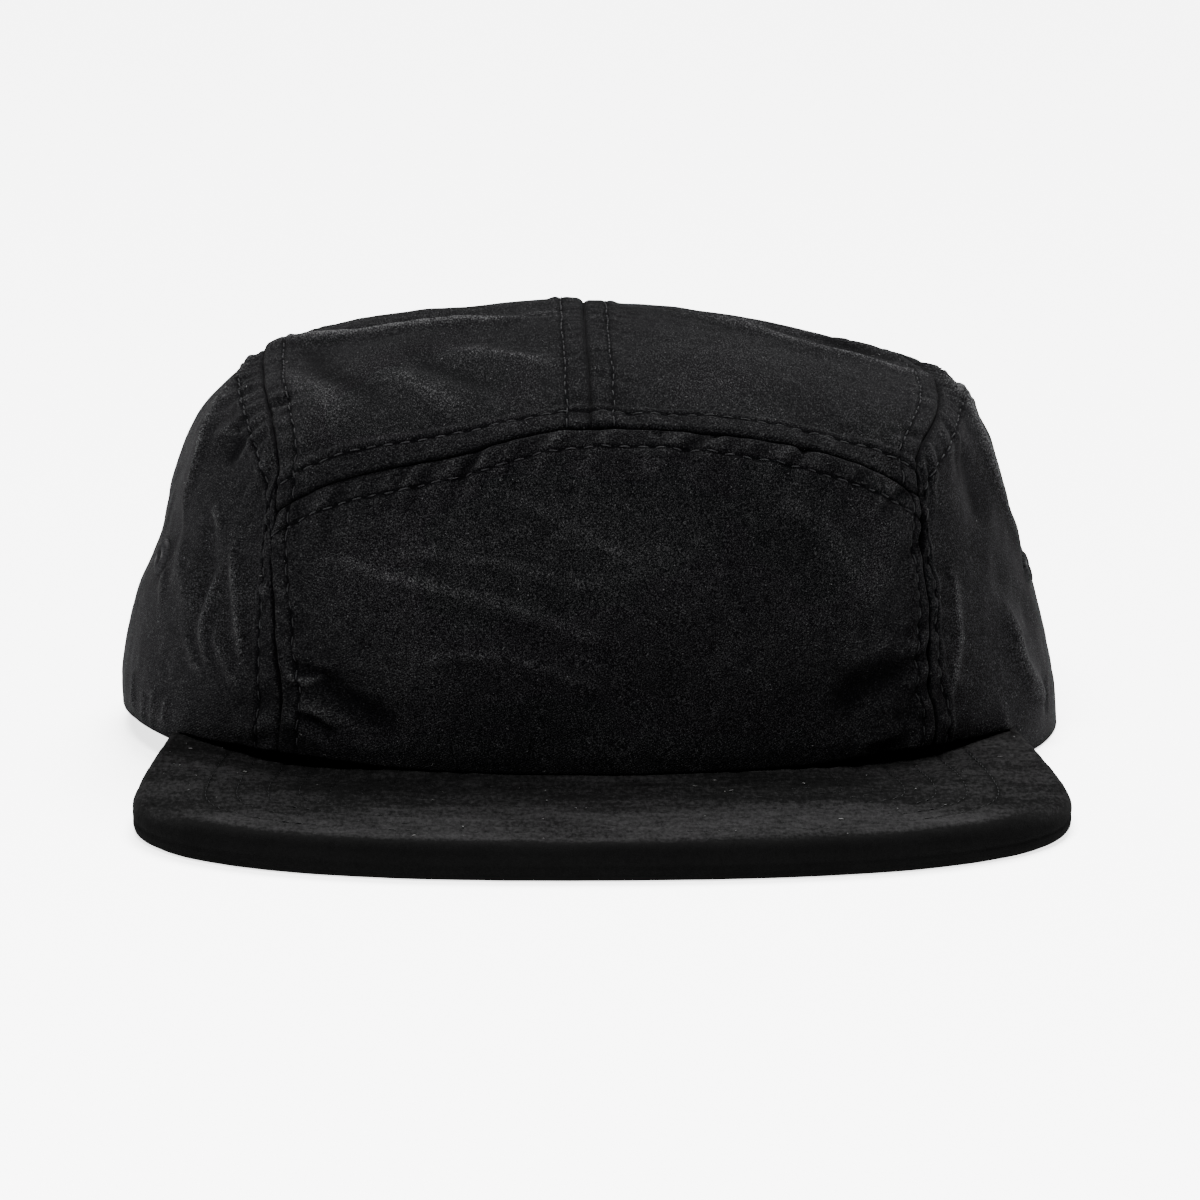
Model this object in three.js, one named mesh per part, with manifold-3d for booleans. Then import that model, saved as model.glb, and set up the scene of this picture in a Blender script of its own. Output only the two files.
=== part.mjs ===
// A five-panel cap with a flat suede brim, lying on its brim and its hem as it would on a table.
// Millimetres, +Z up. The table is z = 0, the brim points along -Y, and the back strap is at +Y.

import * as THREE from 'three';
import { mergeVertices } from 'three/addons/utils/BufferGeometryUtils.js';
import Module from 'manifold-3d';

const wasm = await Module();
wasm.setup();

// Crown
const CLOTH = 1.6; // thickness of the panels with their seam allowances
const CROWN_CENTRE_Y = 33; // centre of the hem's oval
const CROWN_LEAN = 0.024; // how much the worn top falls towards +X
const CROWN_COLUMNS = 72; // steps round the crown
const CROWN_ROWS = 20; // steps from the hem to the top
const LEAN_FULL_LEVEL = 7; // ring from which the lean is full

// The crown's rings, from the hem to the top. Each is an oval with its own reach to the side, the
// front and the back, a height at each of those places, a squareness and a shift along X.
const RING_COLUMNS = ['side', 'sideZ', 'front', 'frontZ', 'back', 'backZ', 'square', 'shift'];
const RINGS = named(RING_COLUMNS, [
  [95.5, 0, 91, 0, 91, 0, 2.05, 0],
  [95, 10, 91.6, 12, 91, 10, 2.05, -0.4],
  [92.3, 24, 91.2, 28, 89.5, 24, 2.1, -0.5],
  [87.5, 39, 89.6, 44, 86.5, 37, 2.15, -0.3],
  [83.5, 53, 86.6, 59, 81.5, 50, 2.25, 0],
  [79.6, 62.5, 81.5, 69, 75.5, 59.5, 2.35, 0.4],
  [72.5, 69.5, 73, 75, 67.5, 67, 2.4, 0.4],
  [60.5, 75.3, 60, 79.8, 55, 74.4, 2.35, 0.2],
  [42, 79.8, 42, 83.2, 39, 80, 2.2, 0],
  [21, 82.9, 21, 84.8, 20, 83.4, 2.1, 0],
  [0, 84.4, 0, 84.4, 0, 84.4, 2, 0],
]);
const RADIUS_COLUMNS = ['side', 'front', 'back'];
const TOP_LEVEL = RINGS.length - 1;

// Folds and dents of the soft cloth. Each runs between two places of the crown, given by azimuth
// (0 at +X, -90 at the front) and ring, with a width and a height. A dent has a negative height.
const FOLD_COLUMNS = ['fromAzimuth', 'fromLevel', 'toAzimuth', 'toLevel', 'width', 'height'];
const FOLDS = named(FOLD_COLUMNS, [
  [-189, 6.7, -165, 8.1, 4, 1.5], // crest from the middle of the top down the left side
  [-165, 8.1, -129, 9.2, 4, 1.4],
  [-186, 6.9, -180, 6.3, 4, 1],
  [-180, 6.3, -162, 5.5, 4, 1.3],
  [-162, 5.5, -155, 4.2, 4, 1.4],
  [-155, 4.2, -157, 3.6, 4, 1.1],
  [-197, 7.6, -150, 9.3, 6, -1.8], // hollow behind that crest
  [-150, 5.6, -149, 4.3, 5, -1.3], // hollow in front of it
  [-150, 3.9, -147, 2.2, 4, -1],
  [17, 8.9, 2, 8.3, 4, 1.1], // crest from the top down the right side
  [2, 8.3, 9, 7, 4, 1.1],
  [12, 6.3, -11, 5.8, 4, 1.3],
  [-11, 5.8, -20, 4.5, 4, 1.3],
  [-20, 4.5, -12, 2.9, 4, 1.2],
  [46, 8.9, 28, 7, 6.5, -1.5], // hollow behind it
  [-30, 5.2, -27, 3.4, 6, -1.4], // hollow in front of it
  [-30, 3, -14, 2, 5.5, -1],
  [-157, 3, -148, 2.2, 4, 1], // slanting folds of the left side
  [-142, 3.4, -136, 1.7, 3.5, 1],
  [-146, 2.9, -143, 1.7, 3.5, 0.8],
  [-156, 1.3, -155, 0.6, 4, -0.7], // puckers at the left hem
  [-168, 1.2, -167, 0.6, 4, -0.7],
  [-26, 2.6, -15, 0.8, 4.5, 1.6], // bulge above the right hem
  [-39, 3, -43, 1.3, 3.5, 0.8], // fold by the right seam
  [-128, 1.8, -118, 1.1, 5, -1.3], // dents of the front above the brim
  [-50, 1.7, -60, 1.2, 6.5, -1.6],
  [-130, 3.2, -105, 2.9, 4, 0.6], // slanting creases of the front
  [-105, 2.9, -86, 2.3, 4, 0.5],
  [-104, 4.2, -83, 3.1, 4, 0.5],
  [-114, 2, -90, 1.7, 4.5, 0.5],
  [-70, 4.5, -52, 2.5, 5, 0.6],
  [62, 4.6, 74, 3.4, 5, 1], // soft folds of the back
  [126, 4.8, 112, 3.5, 5, 1],
  [160, 4.3, 154, 2.3, 5, 0.9],
  [22, 4.2, 29, 2, 5, 0.9],
  [150, 3.5, 143, 1.5, 6.5, -1.1],
  [32, 3.7, 39, 1.8, 6.5, -1],
  [99, 6.5, 97, 4.4, 5, -0.9],
]);

// Seams
const SEAM_GAP = 0.4; // between two panels
const CENTRE_SEAM_X = -1;
// The two side seams seen from above: where each lies in X at a place along Y.
const SIDE_SEAMS = named(['y', 'left', 'right'], [
  [-80, -62, 64.5],
  [-36, -62.5, 65],
  [-27, -62.4, 63.2],
  [-15, -63.8, 65.8],
  [2, -65.2, 68.3],
  [34, -66, 69],
  [62, -61, 63],
  [88, -49, 50],
  [108, -38, 38],
  [124, -29, 29],
  [150, -29, 29],
]);
// The arched seam between the front and the top, seen from the front.
const ARCH_SEAM = named(['x', 'z'], [
  [-75, 43],
  [-64, 52.3],
  [-50, 61.5],
  [-36, 65.8],
  [-18, 70.2],
  [0, 72.4],
  [20, 71.5],
  [40, 67.8],
  [54, 62],
  [65, 55],
  [76, 46],
]);
const SEAM_STEPS = 28; // straight steps along a seam

// Brim
const BRIM_THICKNESS = 6.8; // board with suede over and under it
const BRIM_EDGE = 2.8; // how far its edge is rounded
const BRIM_HALF_WIDTH = 90;
const BRIM_WIDEST_Y = -70;
const BRIM_FRONT_Y = -124.5;
const BRIM_BACK_Y = -6; // inside the crown, where its corners end
const BRIM_TAPER = 5.7; // narrowing of each side from the widest place to the corner
const BRIM_TAPER_POWER = 1.3;
const BRIM_SQUARENESS = 2.5; // 2 would be a plain oval
const BRIM_SIDE_STEPS = 5;
const BRIM_FRONT_STEPS = 40;
const BRIM_EDGE_STEPS = 3;
const BRIM_GAP = 0.3; // to the crown

// Eyelets, one on each side panel
const EYELETS = named(['name', 'azimuth', 'level'], [
  ['eyelet_left', -165.5, 2.87],
  ['eyelet_right', -10, 2.67],
]);
const EYELET_HOLE = 1.5; // radius of the air hole
const EYELET_BARREL = 2.2;
const EYELET_FLANGE = 3.6;
const EYELET_GAP = 0.3;
const EYELET_HEIGHT = 0.9; // of the thread ring above the cloth
const EYELET_SIDES = 16;

// Back opening, strap and buckle
const OPENING_HALF_WIDTH = 37;
const OPENING_HEIGHT = 42;
const OPENING_STEPS = 24;
const HEM_REACH = 91; // radius used to measure along the back wall
const STRAP_LOW = 4;
const STRAP_HIGH = 22;
const STRAP_LENGTH = 106;
const STRAP_THICKNESS = 1.2;
const STRAP_STEPS = 50;
const BUCKLE_WIDTH = 26;
const BUCKLE_BAR = 2.4;
const BUCKLE_CENTRE_BAR = 3.2;
const BUCKLE_THICKNESS = 2;
const BUCKLE_CLEARANCE = 0.6; // between the strap's edges and the frame
const BUCKLE_OFFSET = -2.5; // of its middle from the outside of the wall
// How far the strap's middle lies from the outside of the wall, at a distance from its centre:
// over the buckle's centre bar, under its side bars, then against the inside of the panels.
const STRAP_PATH = named(['reach', 'offset'], [
  [0, -0.6],
  [2.4, -0.6],
  [8.6, -4.4],
  [14.5, -4.4],
  [22, -2.5],
  [70, -2.5],
]);

/** Gives each row of a table the names of its columns. */
function named(columns, rows) {
  return rows.map((row) => Object.fromEntries(columns.map((column, i) => [column, row[i]])));
}

/** A point of the smooth curve through four values, between the second and the third. */
function catmullRom(before, from, to, after, t) {
  const slopeFrom = (to - before) / 2;
  const slopeTo = (after - from) / 2;
  const cubic = 2 * from - 2 * to + slopeFrom + slopeTo;
  const square = -3 * from + 3 * to - 2 * slopeFrom - slopeTo;
  return ((cubic * t + square) * t + slopeFrom) * t + from;
}

/** One column of the ring table at any level. The radii pass through zero at the top. */
function ringValue(column, level) {
  const mirror = RADIUS_COLUMNS.includes(column) ? -1 : 1;
  const valueAt = (i) => {
    if (i < 0) return 2 * RINGS[0][column] - RINGS[1][column];
    if (i > TOP_LEVEL) return mirror * RINGS[TOP_LEVEL - 1][column];
    return RINGS[i][column];
  };
  const i = Math.min(Math.floor(level), TOP_LEVEL - 1);
  return catmullRom(valueAt(i - 1), valueAt(i), valueAt(i + 1), valueAt(i + 2), level - i);
}

/** The crown without its folds, at an azimuth in degrees and a level of the ring table. */
function smoothCrown(azimuth, level) {
  const angle = THREE.MathUtils.degToRad(azimuth);
  const c = Math.cos(angle);
  const s = Math.sin(angle);
  const end = s < 0 ? 'front' : 'back';
  const square = ringValue('square', level);
  const side = Math.max(ringValue('side', level), 1e-6);
  const reach = Math.max(ringValue(end, level), 1e-6);
  const sum = (Math.abs(c) / side) ** square + (Math.abs(s) / reach) ** square;
  const radius = sum ** (-1 / square);
  const lean = CROWN_LEAN * radius * c * Math.min(level / LEAN_FULL_LEVEL, 1) ** 2;
  return new THREE.Vector3(
    ringValue('shift', level) + radius * c,
    CROWN_CENTRE_Y + radius * s,
    ringValue('sideZ', level) * c * c + ringValue(`${end}Z`, level) * s * s - lean,
  );
}

/** The outward direction of the crown without its folds. */
function crownNormal(azimuth, level) {
  const step = 0.01;
  const inside = Math.min(level, TOP_LEVEL - 2 * step);
  const round = smoothCrown(azimuth + step, inside).sub(smoothCrown(azimuth - step, inside));
  const up = smoothCrown(azimuth, inside + step).sub(smoothCrown(azimuth, inside - step));
  return round.cross(up).normalize();
}

const foldLines = FOLDS.map((fold) => ({
  line: new THREE.Line3(
    smoothCrown(fold.fromAzimuth, fold.fromLevel),
    smoothCrown(fold.toAzimuth, fold.toLevel),
  ),
  width: fold.width,
  height: fold.height,
}));

/** How far the folds push the cloth out at a point of the smooth crown. */
function foldHeight(point) {
  const nearest = new THREE.Vector3();
  return foldLines.reduce((height, fold) => {
    const distance = fold.line.closestPointToPoint(point, true, nearest).distanceTo(point);
    return height + fold.height * Math.exp(-((distance / fold.width) ** 2));
  }, 0);
}

/** The outside of the crown with its folds, moved outwards by an offset. */
function crownPoint(azimuth, level, offset = 0) {
  const point = smoothCrown(azimuth, level);
  return point.addScaledVector(crownNormal(azimuth, level), foldHeight(point) + offset);
}

/** Turns a closed geometry into a solid. */
function solidOf(geometry) {
  const bare = geometry.clone();
  bare.deleteAttribute('normal');
  bare.deleteAttribute('uv');
  const merged = mergeVertices(bare);
  return new wasm.Manifold(new wasm.Mesh({
    numProp: 3,
    vertProperties: Float32Array.from(merged.attributes.position.array),
    triVerts: Uint32Array.from(merged.index.array),
  }));
}

/** Turns a solid back into a geometry. */
function geometryOf(solid) {
  const { vertProperties, triVerts } = solid.getMesh();
  const geometry = new THREE.BufferGeometry();
  geometry.setAttribute('position', new THREE.BufferAttribute(vertProperties, 3));
  geometry.setIndex(new THREE.BufferAttribute(triVerts, 1));
  geometry.computeVertexNormals();
  return geometry;
}

/** The crown filled in, moved outwards by an offset and closed by a flat floor. */
function crownSolid(offset, floorZ) {
  const points = [];
  for (let row = 0; row < CROWN_ROWS; row += 1) {
    for (let column = 0; column < CROWN_COLUMNS; column += 1) {
      const azimuth = (360 * column) / CROWN_COLUMNS;
      const point = crownPoint(azimuth, (TOP_LEVEL * row) / CROWN_ROWS, offset);
      if (row === 0) point.z = floorZ;
      points.push(point);
    }
  }
  const top = points.push(crownPoint(0, TOP_LEVEL, offset)) - 1;
  const floor = points.push(new THREE.Vector3(0, CROWN_CENTRE_Y, floorZ)) - 1;
  const faces = [];
  for (let column = 0; column < CROWN_COLUMNS; column += 1) {
    const next = (column + 1) % CROWN_COLUMNS;
    for (let row = 0; row < CROWN_ROWS - 1; row += 1) {
      const low = row * CROWN_COLUMNS;
      const high = low + CROWN_COLUMNS;
      faces.push(low + column, low + next, high + next);
      faces.push(low + column, high + next, high + column);
    }
    const last = (CROWN_ROWS - 1) * CROWN_COLUMNS;
    faces.push(last + column, last + next, top);
    faces.push(next, column, floor);
  }
  const geometry = new THREE.BufferGeometry().setFromPoints(points);
  geometry.setIndex(faces);
  return solidOf(geometry);
}

/** Points of the smooth line through the rows of a table, read from two of its columns. */
function tableLine(rows, across, along) {
  const knots = rows.map((row) => new THREE.Vector3(row[across], row[along], 0));
  return new THREE.CatmullRomCurve3(knots).getPoints(SEAM_STEPS);
}

/** A flat outline pushed straight up from one height to another. */
function uprightBlock(outline, lowZ, highZ) {
  const shape = new THREE.Shape(outline.map((point) => new THREE.Vector2(point.x, point.y)));
  const geometry = new THREE.ExtrudeGeometry(shape, { depth: highZ - lowZ, bevelEnabled: false });
  return solidOf(geometry.translate(0, 0, lowZ));
}

/** An outline in X and Z pushed along Y from one place to another. */
function frontalBlock(outline, nearY, farY) {
  const shape = new THREE.Shape(outline.map((point) => new THREE.Vector2(point.x, point.y)));
  const geometry = new THREE.ExtrudeGeometry(shape, { depth: farY - nearY, bevelEnabled: false });
  return solidOf(geometry.rotateX(Math.PI / 2).translate(0, farY, 0));
}

/** A block from one X to another that reaches past the whole cap the other ways. */
function slab(lowX, highX) {
  const geometry = new THREE.BoxGeometry(highX - lowX, 400, 300);
  return solidOf(geometry.translate((lowX + highX) / 2, CROWN_CENTRE_Y, 100));
}

/** Everything between the two side seams, drawn in on each side by a margin. */
function betweenSideSeams(margin) {
  const left = tableLine(SIDE_SEAMS, 'left', 'y').map((p) => ({ x: p.x + margin, y: p.y }));
  const right = tableLine(SIDE_SEAMS, 'right', 'y').map((p) => ({ x: p.x - margin, y: p.y }));
  return uprightBlock([...right, ...left.reverse()], -5, 100);
}

/** Everything in front of the crown's centre and below the arched seam, raised by a margin. */
function belowArchSeam(margin) {
  const arch = tableLine(ARCH_SEAM, 'x', 'z').map((p) => ({ x: p.x, y: p.y + margin }));
  const last = arch[arch.length - 1];
  const outline = [{ x: arch[0].x, y: -5 }, { x: last.x, y: -5 }, ...arch.reverse()];
  return frontalBlock(outline, -100, CROWN_CENTRE_Y);
}

/** The arched hole in the back of the crown, reaching past both sides of the cloth. */
function backOpening() {
  const outline = [];
  for (let step = 0; step <= OPENING_STEPS; step += 1) {
    const angle = (Math.PI * step) / OPENING_STEPS;
    outline.push({ x: OPENING_HALF_WIDTH * Math.cos(angle), y: OPENING_HEIGHT * Math.sin(angle) });
  }
  outline.push({ x: -OPENING_HALF_WIDTH, y: -5 }, { x: OPENING_HALF_WIDTH, y: -5 });
  return frontalBlock(outline, 85, 145);
}

/** Stands a geometry made round the Y axis on the crown, with +Y pointing out of the cloth. */
function standOnCrown(geometry, azimuth, level) {
  const up = new THREE.Vector3(0, 1, 0);
  const turn = new THREE.Quaternion().setFromUnitVectors(up, crownNormal(azimuth, level));
  const place = crownPoint(azimuth, level);
  return geometry.applyQuaternion(turn).translate(place.x, place.y, place.z);
}

/** The hole in the cloth that an eyelet's barrel goes through. */
function eyeletHole(eyelet) {
  const radius = EYELET_BARREL + EYELET_GAP;
  const cylinder = new THREE.CylinderGeometry(radius, radius, 12, EYELET_SIDES);
  return solidOf(standOnCrown(cylinder, eyelet.azimuth, eyelet.level));
}

/** A ring of thread with a flange on the cloth and a barrel through it. */
function eyeletSolid(eyelet) {
  const inner = -CLOTH - EYELET_GAP;
  const profile = [
    [EYELET_HOLE, inner],
    [EYELET_BARREL, inner],
    [EYELET_BARREL, EYELET_GAP],
    [EYELET_FLANGE, EYELET_GAP],
    [EYELET_FLANGE - 0.3, EYELET_HEIGHT],
    [EYELET_BARREL, EYELET_HEIGHT + 0.3],
    [EYELET_HOLE, EYELET_HEIGHT],
    [EYELET_HOLE, inner],
  ].map(([radius, height]) => new THREE.Vector2(radius, height));
  const ring = new THREE.LatheGeometry(profile, EYELET_SIDES);
  return solidOf(standOnCrown(ring, eyelet.azimuth, eyelet.level));
}

/** The brim's outline from above, from one hidden corner round the front to the other. */
function brimOutline() {
  const side = [];
  for (let step = 0; step < BRIM_SIDE_STEPS; step += 1) {
    const t = 1 - step / BRIM_SIDE_STEPS;
    side.push(new THREE.Vector2(
      BRIM_HALF_WIDTH - BRIM_TAPER * t ** BRIM_TAPER_POWER,
      BRIM_WIDEST_Y + (BRIM_BACK_Y - BRIM_WIDEST_Y) * t,
    ));
  }
  const front = [];
  for (let step = 0; step <= BRIM_FRONT_STEPS; step += 1) {
    const angle = (Math.PI * step) / BRIM_FRONT_STEPS;
    const c = Math.cos(angle);
    const power = 2 / BRIM_SQUARENESS;
    front.push(new THREE.Vector2(
      BRIM_HALF_WIDTH * Math.sign(c) * Math.abs(c) ** power,
      BRIM_WIDEST_Y + (BRIM_FRONT_Y - BRIM_WIDEST_Y) * Math.sin(angle) ** power,
    ));
  }
  const otherSide = side.map((point) => new THREE.Vector2(-point.x, point.y)).reverse();
  return [...side, ...front, ...otherSide];
}

/** The flat brim with its rounded edge, cut to follow the crown. */
function brimSolid() {
  const geometry = new THREE.ExtrudeGeometry(new THREE.Shape(brimOutline()), {
    depth: BRIM_THICKNESS - 2 * BRIM_EDGE,
    bevelThickness: BRIM_EDGE,
    bevelSize: BRIM_EDGE,
    bevelOffset: -BRIM_EDGE,
    bevelSegments: BRIM_EDGE_STEPS,
  });
  return solidOf(geometry.translate(0, 0, BRIM_EDGE)).subtract(crownSolid(BRIM_GAP, -2));
}

/** A place by the back wall: a distance along it towards -X, a height, and an offset outwards. */
function byBackWall(reach, z, offset) {
  const azimuth = 90 + THREE.MathUtils.radToDeg(reach / HEM_REACH);
  let low = 0;
  let high = TOP_LEVEL / 2;
  for (let step = 0; step < 24; step += 1) {
    const middle = (low + high) / 2;
    if (smoothCrown(azimuth, middle).z < z) low = middle;
    else high = middle;
  }
  const place = smoothCrown(azimuth, low);
  const outwards = crownNormal(azimuth, low).setZ(0).normalize();
  return place.addScaledVector(outwards, offset);
}

/** How far the strap's middle lies from the outside of the wall. */
function strapOffset(reach) {
  const distance = Math.abs(reach);
  const after = STRAP_PATH.findIndex((row) => row.reach > distance);
  const from = STRAP_PATH[after - 1];
  const to = STRAP_PATH[after];
  const t = (distance - from.reach) / (to.reach - from.reach);
  return THREE.MathUtils.lerp(from.offset, to.offset, THREE.MathUtils.smoothstep(t, 0, 1));
}

/** Bends a geometry round the back wall: X runs along the wall, Y is height and Z is offset. */
function bendRoundBack(geometry, offsetAt) {
  const position = geometry.attributes.position;
  for (let i = 0; i < position.count; i += 1) {
    const reach = position.getX(i);
    const place = byBackWall(reach, position.getY(i), position.getZ(i) + offsetAt(reach));
    position.setXYZ(i, place.x, place.y, place.z);
  }
  return geometry;
}

/** The adjusting strap, woven through the buckle. */
function strapSolid() {
  const height = STRAP_HIGH - STRAP_LOW;
  const band = new THREE.BoxGeometry(STRAP_LENGTH, height, STRAP_THICKNESS, STRAP_STEPS, 1, 1);
  band.translate(0, STRAP_LOW + height / 2, 0);
  return solidOf(bendRoundBack(band, strapOffset));
}

/** The slide buckle: a frame with a centre bar. */
function buckleSolid() {
  const windowHeight = STRAP_HIGH - STRAP_LOW + 2 * BUCKLE_CLEARANCE;
  const windowWidth = (BUCKLE_WIDTH - BUCKLE_CENTRE_BAR) / 2 - BUCKLE_BAR;
  const middleZ = (STRAP_LOW + STRAP_HIGH) / 2;
  const bent = (width, height, depth, shift, steps) => {
    const box = new THREE.BoxGeometry(width, height, depth, steps, 1, 1);
    return solidOf(bendRoundBack(box.translate(shift, middleZ, 0), () => BUCKLE_OFFSET));
  };
  const shift = (BUCKLE_CENTRE_BAR + windowWidth) / 2;
  return bent(BUCKLE_WIDTH, windowHeight + 2 * BUCKLE_BAR, BUCKLE_THICKNESS, 0, 13)
    .subtract(bent(windowWidth, windowHeight, 3 * BUCKLE_THICKNESS, -shift, 5))
    .subtract(bent(windowWidth, windowHeight, 3 * BUCKLE_THICKNESS, shift, 5));
}

/** The five panels of the crown, cut from one shell along the seams. */
function crownPanels() {
  const half = SEAM_GAP / 2;
  const shell = crownSolid(0, 0).subtract(crownSolid(-CLOTH, -2)).subtract(backOpening());
  const middle = shell.intersect(betweenSideSeams(half));
  const sides = EYELETS.map(eyeletHole).reduce(
    (cloth, hole) => cloth.subtract(hole),
    shell.subtract(betweenSideSeams(-half)),
  );
  const top = middle.subtract(belowArchSeam(half));
  return {
    front_panel: middle.intersect(belowArchSeam(-half)),
    top_panel_left: top.intersect(slab(-200, CENTRE_SEAM_X - half)),
    top_panel_right: top.intersect(slab(CENTRE_SEAM_X + half, 200)),
    side_panel_left: sides.intersect(slab(-200, 0)),
    side_panel_right: sides.intersect(slab(0, 200)),
  };
}

const cloth = new THREE.MeshStandardMaterial({ color: 0x17171a, roughness: 0.95, metalness: 0 });
const suede = new THREE.MeshStandardMaterial({ color: 0x1c1b1c, roughness: 0.9, metalness: 0 });
const thread = new THREE.MeshStandardMaterial({ color: 0x222225, roughness: 0.8, metalness: 0 });
const webbing = new THREE.MeshStandardMaterial({ color: 0x161618, roughness: 0.9, metalness: 0 });
const plastic = new THREE.MeshStandardMaterial({ color: 0x101012, roughness: 0.45, metalness: 0 });

const cap = new THREE.Group();

/** Adds one solid to the cap as a named mesh. */
function add(name, solid, material) {
  const mesh = new THREE.Mesh(geometryOf(solid), material);
  mesh.name = name;
  cap.add(mesh);
}

Object.entries(crownPanels()).forEach(([name, panel]) => add(name, panel, cloth));
add('brim', brimSolid(), suede);
EYELETS.forEach((eyelet) => add(eyelet.name, eyeletSolid(eyelet), thread));
add('back_strap', strapSolid(), webbing);
add('strap_buckle', buckleSolid(), plastic);

export default cap;
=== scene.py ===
"""A black five-panel cap with a flat suede brim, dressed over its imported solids.

The classes hold their sizes in millimetres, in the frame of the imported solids: +Z is up, the brim points
along -Y and the table is at z = 0. A mesh is turned into metres when it is made.
"""

import logging
import math
from dataclasses import dataclass, field
from enum import Enum

import bmesh
import bpy
import numpy as np
from mathutils import Matrix, Vector


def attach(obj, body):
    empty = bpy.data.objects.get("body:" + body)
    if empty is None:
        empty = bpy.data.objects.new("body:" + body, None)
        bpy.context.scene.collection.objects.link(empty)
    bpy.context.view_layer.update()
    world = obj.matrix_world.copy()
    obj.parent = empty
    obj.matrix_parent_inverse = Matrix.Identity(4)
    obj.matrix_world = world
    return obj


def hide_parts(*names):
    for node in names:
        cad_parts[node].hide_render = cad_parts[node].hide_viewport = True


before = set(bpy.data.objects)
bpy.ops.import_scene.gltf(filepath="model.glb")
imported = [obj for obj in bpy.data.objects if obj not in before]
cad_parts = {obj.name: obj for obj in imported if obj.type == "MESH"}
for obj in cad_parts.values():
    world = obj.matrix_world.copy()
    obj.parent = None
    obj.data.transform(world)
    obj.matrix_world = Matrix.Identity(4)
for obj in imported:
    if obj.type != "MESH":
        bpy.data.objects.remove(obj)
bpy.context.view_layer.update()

MM = 0.001
BODY = "root"
Array = np.ndarray
Path = tuple[tuple[float, float], ...]
Rows = list[tuple[Array, Array]]
Colour = tuple[float, float, float]
Socket = bpy.types.NodeSocket

log = logging.getLogger("cap")


def smoothstep(low: float, high: float, value: Array) -> Array:
    """Rises smoothly from 0 at one value to 1 at another.

    Args:
        low: The value where the rise starts.
        high: The value where it ends; lower than low for a fall.
        value: The values to read it at.

    Returns:
        The rise at each value.
    """
    t = np.clip((value - low) / (high - low), 0.0, 1.0)
    return t * t * (3.0 - 2.0 * t)


def unit(vectors: Array) -> Array:
    """Scales vectors to a length of one.

    Args:
        vectors: Vectors along the last axis.

    Returns:
        The same directions with a length of one.
    """
    return vectors / np.maximum(np.linalg.norm(vectors, axis=-1, keepdims=True), 1e-12)


def lengths_along(points: Array) -> Array:
    """Measures the distance travelled along the first axis of an array of points.

    Args:
        points: Points, in order along the first axis.

    Returns:
        The distance from the first point to each.
    """
    steps = np.linalg.norm(np.diff(points, axis=0), axis=-1)
    return np.concatenate([np.zeros_like(steps[:1]), np.cumsum(steps, axis=0)], axis=0)


def curve_through(knots: Array, steps: int = 14) -> Array:
    """Draws a smooth line through a few points.

    Args:
        knots: The points, one a row.
        steps: How many points to make for each span.

    Returns:
        Points of a Catmull-Rom line, with the knots among them.
    """
    ends = np.vstack([2 * knots[0] - knots[1], knots, 2 * knots[-1] - knots[-2]])
    t = (np.arange(steps) / steps)[:, None]
    spans = []
    for a, b, c, d in zip(ends, ends[1:], ends[2:], ends[3:]):
        cubic = 3 * b - a - 3 * c + d
        spans.append(0.5 * (2 * b + (c - a) * t + (2 * a - 5 * b + 4 * c - d) * t**2 + cubic * t**3))
    return np.vstack([*spans, knots[-1:]])


def graded_steps(length: float, fine: float, coarse: float, fine_reach: float) -> Array:
    """Divides a length into small steps near its ends and larger ones between.

    Args:
        length: The length to divide.
        fine: The step at the ends.
        coarse: The step in the middle.
        fine_reach: How far the small steps reach from each end.

    Returns:
        Places from 0 to 1.
    """
    at = np.linspace(0.0, length, 2000)
    from_end = np.minimum(at, length - at)
    step = fine + (coarse - fine) * smoothstep(fine_reach, 2.5 * fine_reach, from_end)
    count = np.concatenate([[0.0], np.cumsum(np.diff(at) / step[1:])])
    places = np.linspace(0.0, count[-1], int(math.ceil(count[-1])) + 1)
    return np.interp(places, count, at) / length


@dataclass(frozen=True)
class Undulation:
    """Gentle irregular waves, the sum of plane waves in seeded directions."""

    seed: int
    shortest: float
    longest: float
    waves: int = 16

    def at(self, points: Array) -> Array:
        """Reads the waves at some points.

        Args:
            points: Points with one, two or three coordinates along the last axis, in mm.

        Returns:
            Heights of about -1 to 1.
        """
        random = np.random.default_rng(self.seed)
        heights = np.zeros(points.shape[:-1])
        for _ in range(self.waves):
            direction = unit(random.normal(size=points.shape[-1]))
            wavelength = self.shortest * (self.longest / self.shortest) ** random.random()
            phase = random.random() * 2 * math.pi
            heights += np.sin(points @ direction * (2 * math.pi / wavelength) + phase)
        return heights / math.sqrt(self.waves)


@dataclass(frozen=True)
class Fold:
    """A fold, crease or dent of the cloth along a line of the crown.

    path holds azimuths in degrees and ring levels. A dent has a negative height. A sharpness of 2 is a
    round fold and 1 a pinched one. The last number makes the cloth paler along the line, partly for wear
    of the brushed nap and partly as a painted highlight on the crest; below 0 it is painted shade in the
    hollow.
    """

    path: Path
    width: float
    height: float
    sharpness: float = 2.0
    wear_and_painted_light: float = 0.0


# The last number of a fold paints the cloth paler along it, partly brushed-nap wear and partly a painted
# highlight on the crest; below 0, as in most hollows, it paints shade.
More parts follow.
